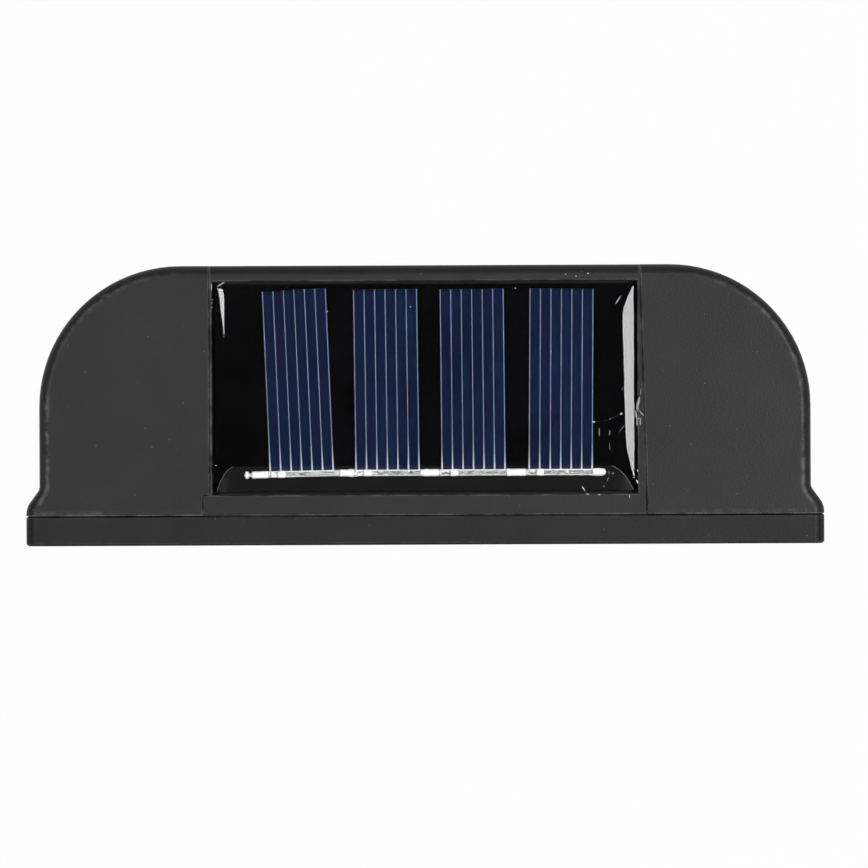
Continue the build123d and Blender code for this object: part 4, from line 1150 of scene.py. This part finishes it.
screwTree = buildScrewTree()
screwDraw = random.Random(screwShape["seed"])
screwSets = (("plate_screws", "plateScrews", (0, 1, 0)), ("tray_screws", "trayScrews", (0, 0, -1)))
for nodeName, name, aim in screwSets:
    sizes = screwSizes[nodeName]
    low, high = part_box(nodeName)
    rim = sizes["Head Radius"]
    ends = [low.x + rim, high.x - rim]
    if nodeName == "plate_screws":
        places = [(x, high.y - sizes["Head Height"], z) for x in ends for z in (low.z + rim, high.z - rim)]
    else:
        places = [(x, (low.y + high.y) / 2, low.z + sizes["Head Height"]) for x in ends]
    turns = [screwDraw.uniform(0, math.pi) for place in places]
    points = pointMesh(name + "Points", places, aim=[aim] * len(places), turn=turns)
    screws = runTree(name, points, screwTree, {**sizes, "Material": finish["zincSteel"]})
    finishPiece(screws, None, (nodeName,))
print("screws made")

# Stage: a white floor well below the lamp, a white backdrop, and two soft panels above

floorLook = {"depth": 0.22, "size": 8.0, "tone": (0.86, 0.86, 0.86, 1.0), "roughness": 0.9, "seen": 0.97}
bpy.ops.mesh.primitive_plane_add(size=floorLook["size"], location=(0, 0, cadLow.z - floorLook["depth"]))
floor = bpy.context.object
floor.name = "paleFloor"
floorWhite, floorTree, floorShader = newMaterial("paleFloor")
floorShader.inputs["Base Color"].default_value = floorLook["tone"]
floorShader.inputs["Roughness"].default_value = floorLook["roughness"]
floorGlow = firstOf(floorTree, "ShaderNodeEmission", {"Color": (1, 1, 1, 1), "Strength": 1.0})
floorPath = makeNode(floorTree, "ShaderNodeLightPath").outputs
floorSeen = doMath(floorTree, "MAXIMUM", floorPath["Is Camera Ray"], floorPath["Is Glossy Ray"])
floorSeen = doMath(floorTree, "MAXIMUM", floorSeen, floorPath["Is Transmission Ray"])
floorLit = {0: times(floorTree, floorSeen, floorLook["seen"]), 1: floorShader.outputs[0], 2: floorGlow}
floorTop = firstOf(floorTree, "ShaderNodeMixShader", floorLit)
# From below the floor is open, so that the lens and the button can be seen
floorOpen = firstOf(floorTree, "ShaderNodeBsdfTransparent")
floorBack = makeNode(floorTree, "ShaderNodeNewGeometry").outputs["Backfacing"]
floorEnd = firstOf(floorTree, "ShaderNodeMixShader", {0: floorBack, 1: floorTop, 2: floorOpen})
floorTree.links.new(floorEnd, floorTree.nodes["Material Output"].inputs["Surface"])
floor.data.materials.append(floorWhite)

worldLook = {
    "ambient": 0.45, "ceiling": 0.02, "horizon": (0.18, 0.40),
    "rearGlow": 0.42, "rearFrom": (0.22, 0.34), "rearPlusX": 0.7, "rearMinusX": 0.45, "corner": (0.2, 0.6),
}
world = bpy.data.worlds.new("studio")
bpy.context.scene.world = world
world.use_nodes = True
worldTree = world.node_tree
direction = makeNode(worldTree, "ShaderNodeTexCoord").outputs["Generated"]
toward = makeNode(worldTree, "ShaderNodeSeparateXYZ", {0: direction}).outputs
backdrop = mapValue(worldTree, toward["Z"], *worldLook["horizon"], 1.0, worldLook["ceiling"], smooth=True)
rearGlow = mapValue(worldTree, toward["Y"], *worldLook["rearFrom"], 0.0, worldLook["rearGlow"], smooth=True)
behind = mapValue(worldTree, toward["Y"], *worldLook["rearFrom"], smooth=True)
for side, label in ((1, "rearPlusX"), (-1, "rearMinusX")):
    start, full = (side * edge for edge in worldLook["corner"])
    corner = mapValue(worldTree, toward["X"], start, full, 0.0, worldLook[label], smooth=True)
    rearGlow = doMath(worldTree, "ADD", rearGlow, times(worldTree, corner, behind))
mirrored = doMath(worldTree, "MAXIMUM", backdrop, rearGlow)
worldPath = makeNode(worldTree, "ShaderNodeLightPath").outputs
mirrorRay = doMath(worldTree, "MAXIMUM", worldPath["Is Glossy Ray"], worldPath["Is Transmission Ray"])
# What lies under the resin gets the ambient too
unspread = doMath(worldTree, "LESS_THAN", worldPath["Diffuse Depth"], 0.5)
mirrorRay = times(worldTree, mirrorRay, unspread)
level = firstOf(worldTree, "ShaderNodeMix", {0: mirrorRay, 2: worldLook["ambient"], 3: mirrored})
level = firstOf(worldTree, "ShaderNodeMix", {0: worldPath["Is Camera Ray"], 2: level, 3: 1.0})
worldTree.links.new(level, worldTree.nodes["Background"].inputs["Strength"])
worldTree.nodes["Background"].inputs["Color"].default_value = (1, 1, 1, 1)

# Two soft panels that hang level above the lamp, left and right of the camera
lamps = {
    "panelRight": {"place": (-0.368, -0.05, 0.9), "size": (0.162, 0.50), "radiance": 22.5},
    "panelLeft": {"place": (0.3243, -0.075, 0.9), "size": (0.0785, 0.32), "radiance": 28.0},
}
for name, lamp in lamps.items():
    light = bpy.data.lights.new(name, "AREA")
    light.shape = "RECTANGLE"
    light.size, light.size_y = lamp["size"]
    light.energy = lamp["radiance"] * math.pi * lamp["size"][0] * lamp["size"][1]
    holder = bpy.data.objects.new(name, light)
    bpy.context.scene.collection.objects.link(holder)
    x, y, above = lamp["place"]
    holder.location = (x, y, cadHigh.z + above)

cameraLook = {"frameWidth": 124.0 * mm, "distance": 0.8, "centre": (-1.29 * mm, -15.82 * mm), "roll": 0.24}
cameraData = bpy.data.cameras.new("photoCamera")
cameraData.sensor_width = 36.0
cameraData.lens = cameraData.sensor_width * cameraLook["distance"] / cameraLook["frameWidth"]
cameraData.clip_start, cameraData.clip_end = 0.01, 20.0
camera = bpy.data.objects.new("photoCamera", cameraData)
camera.location = (*cameraLook["centre"], cadHigh.z + cameraLook["distance"])
camera.rotation_euler = (0, 0, math.pi - math.radians(cameraLook["roll"]))
bpy.context.scene.collection.objects.link(camera)
bpy.context.scene.camera = camera
bpy.context.scene.view_settings.view_transform = "Standard"
print("stage set")
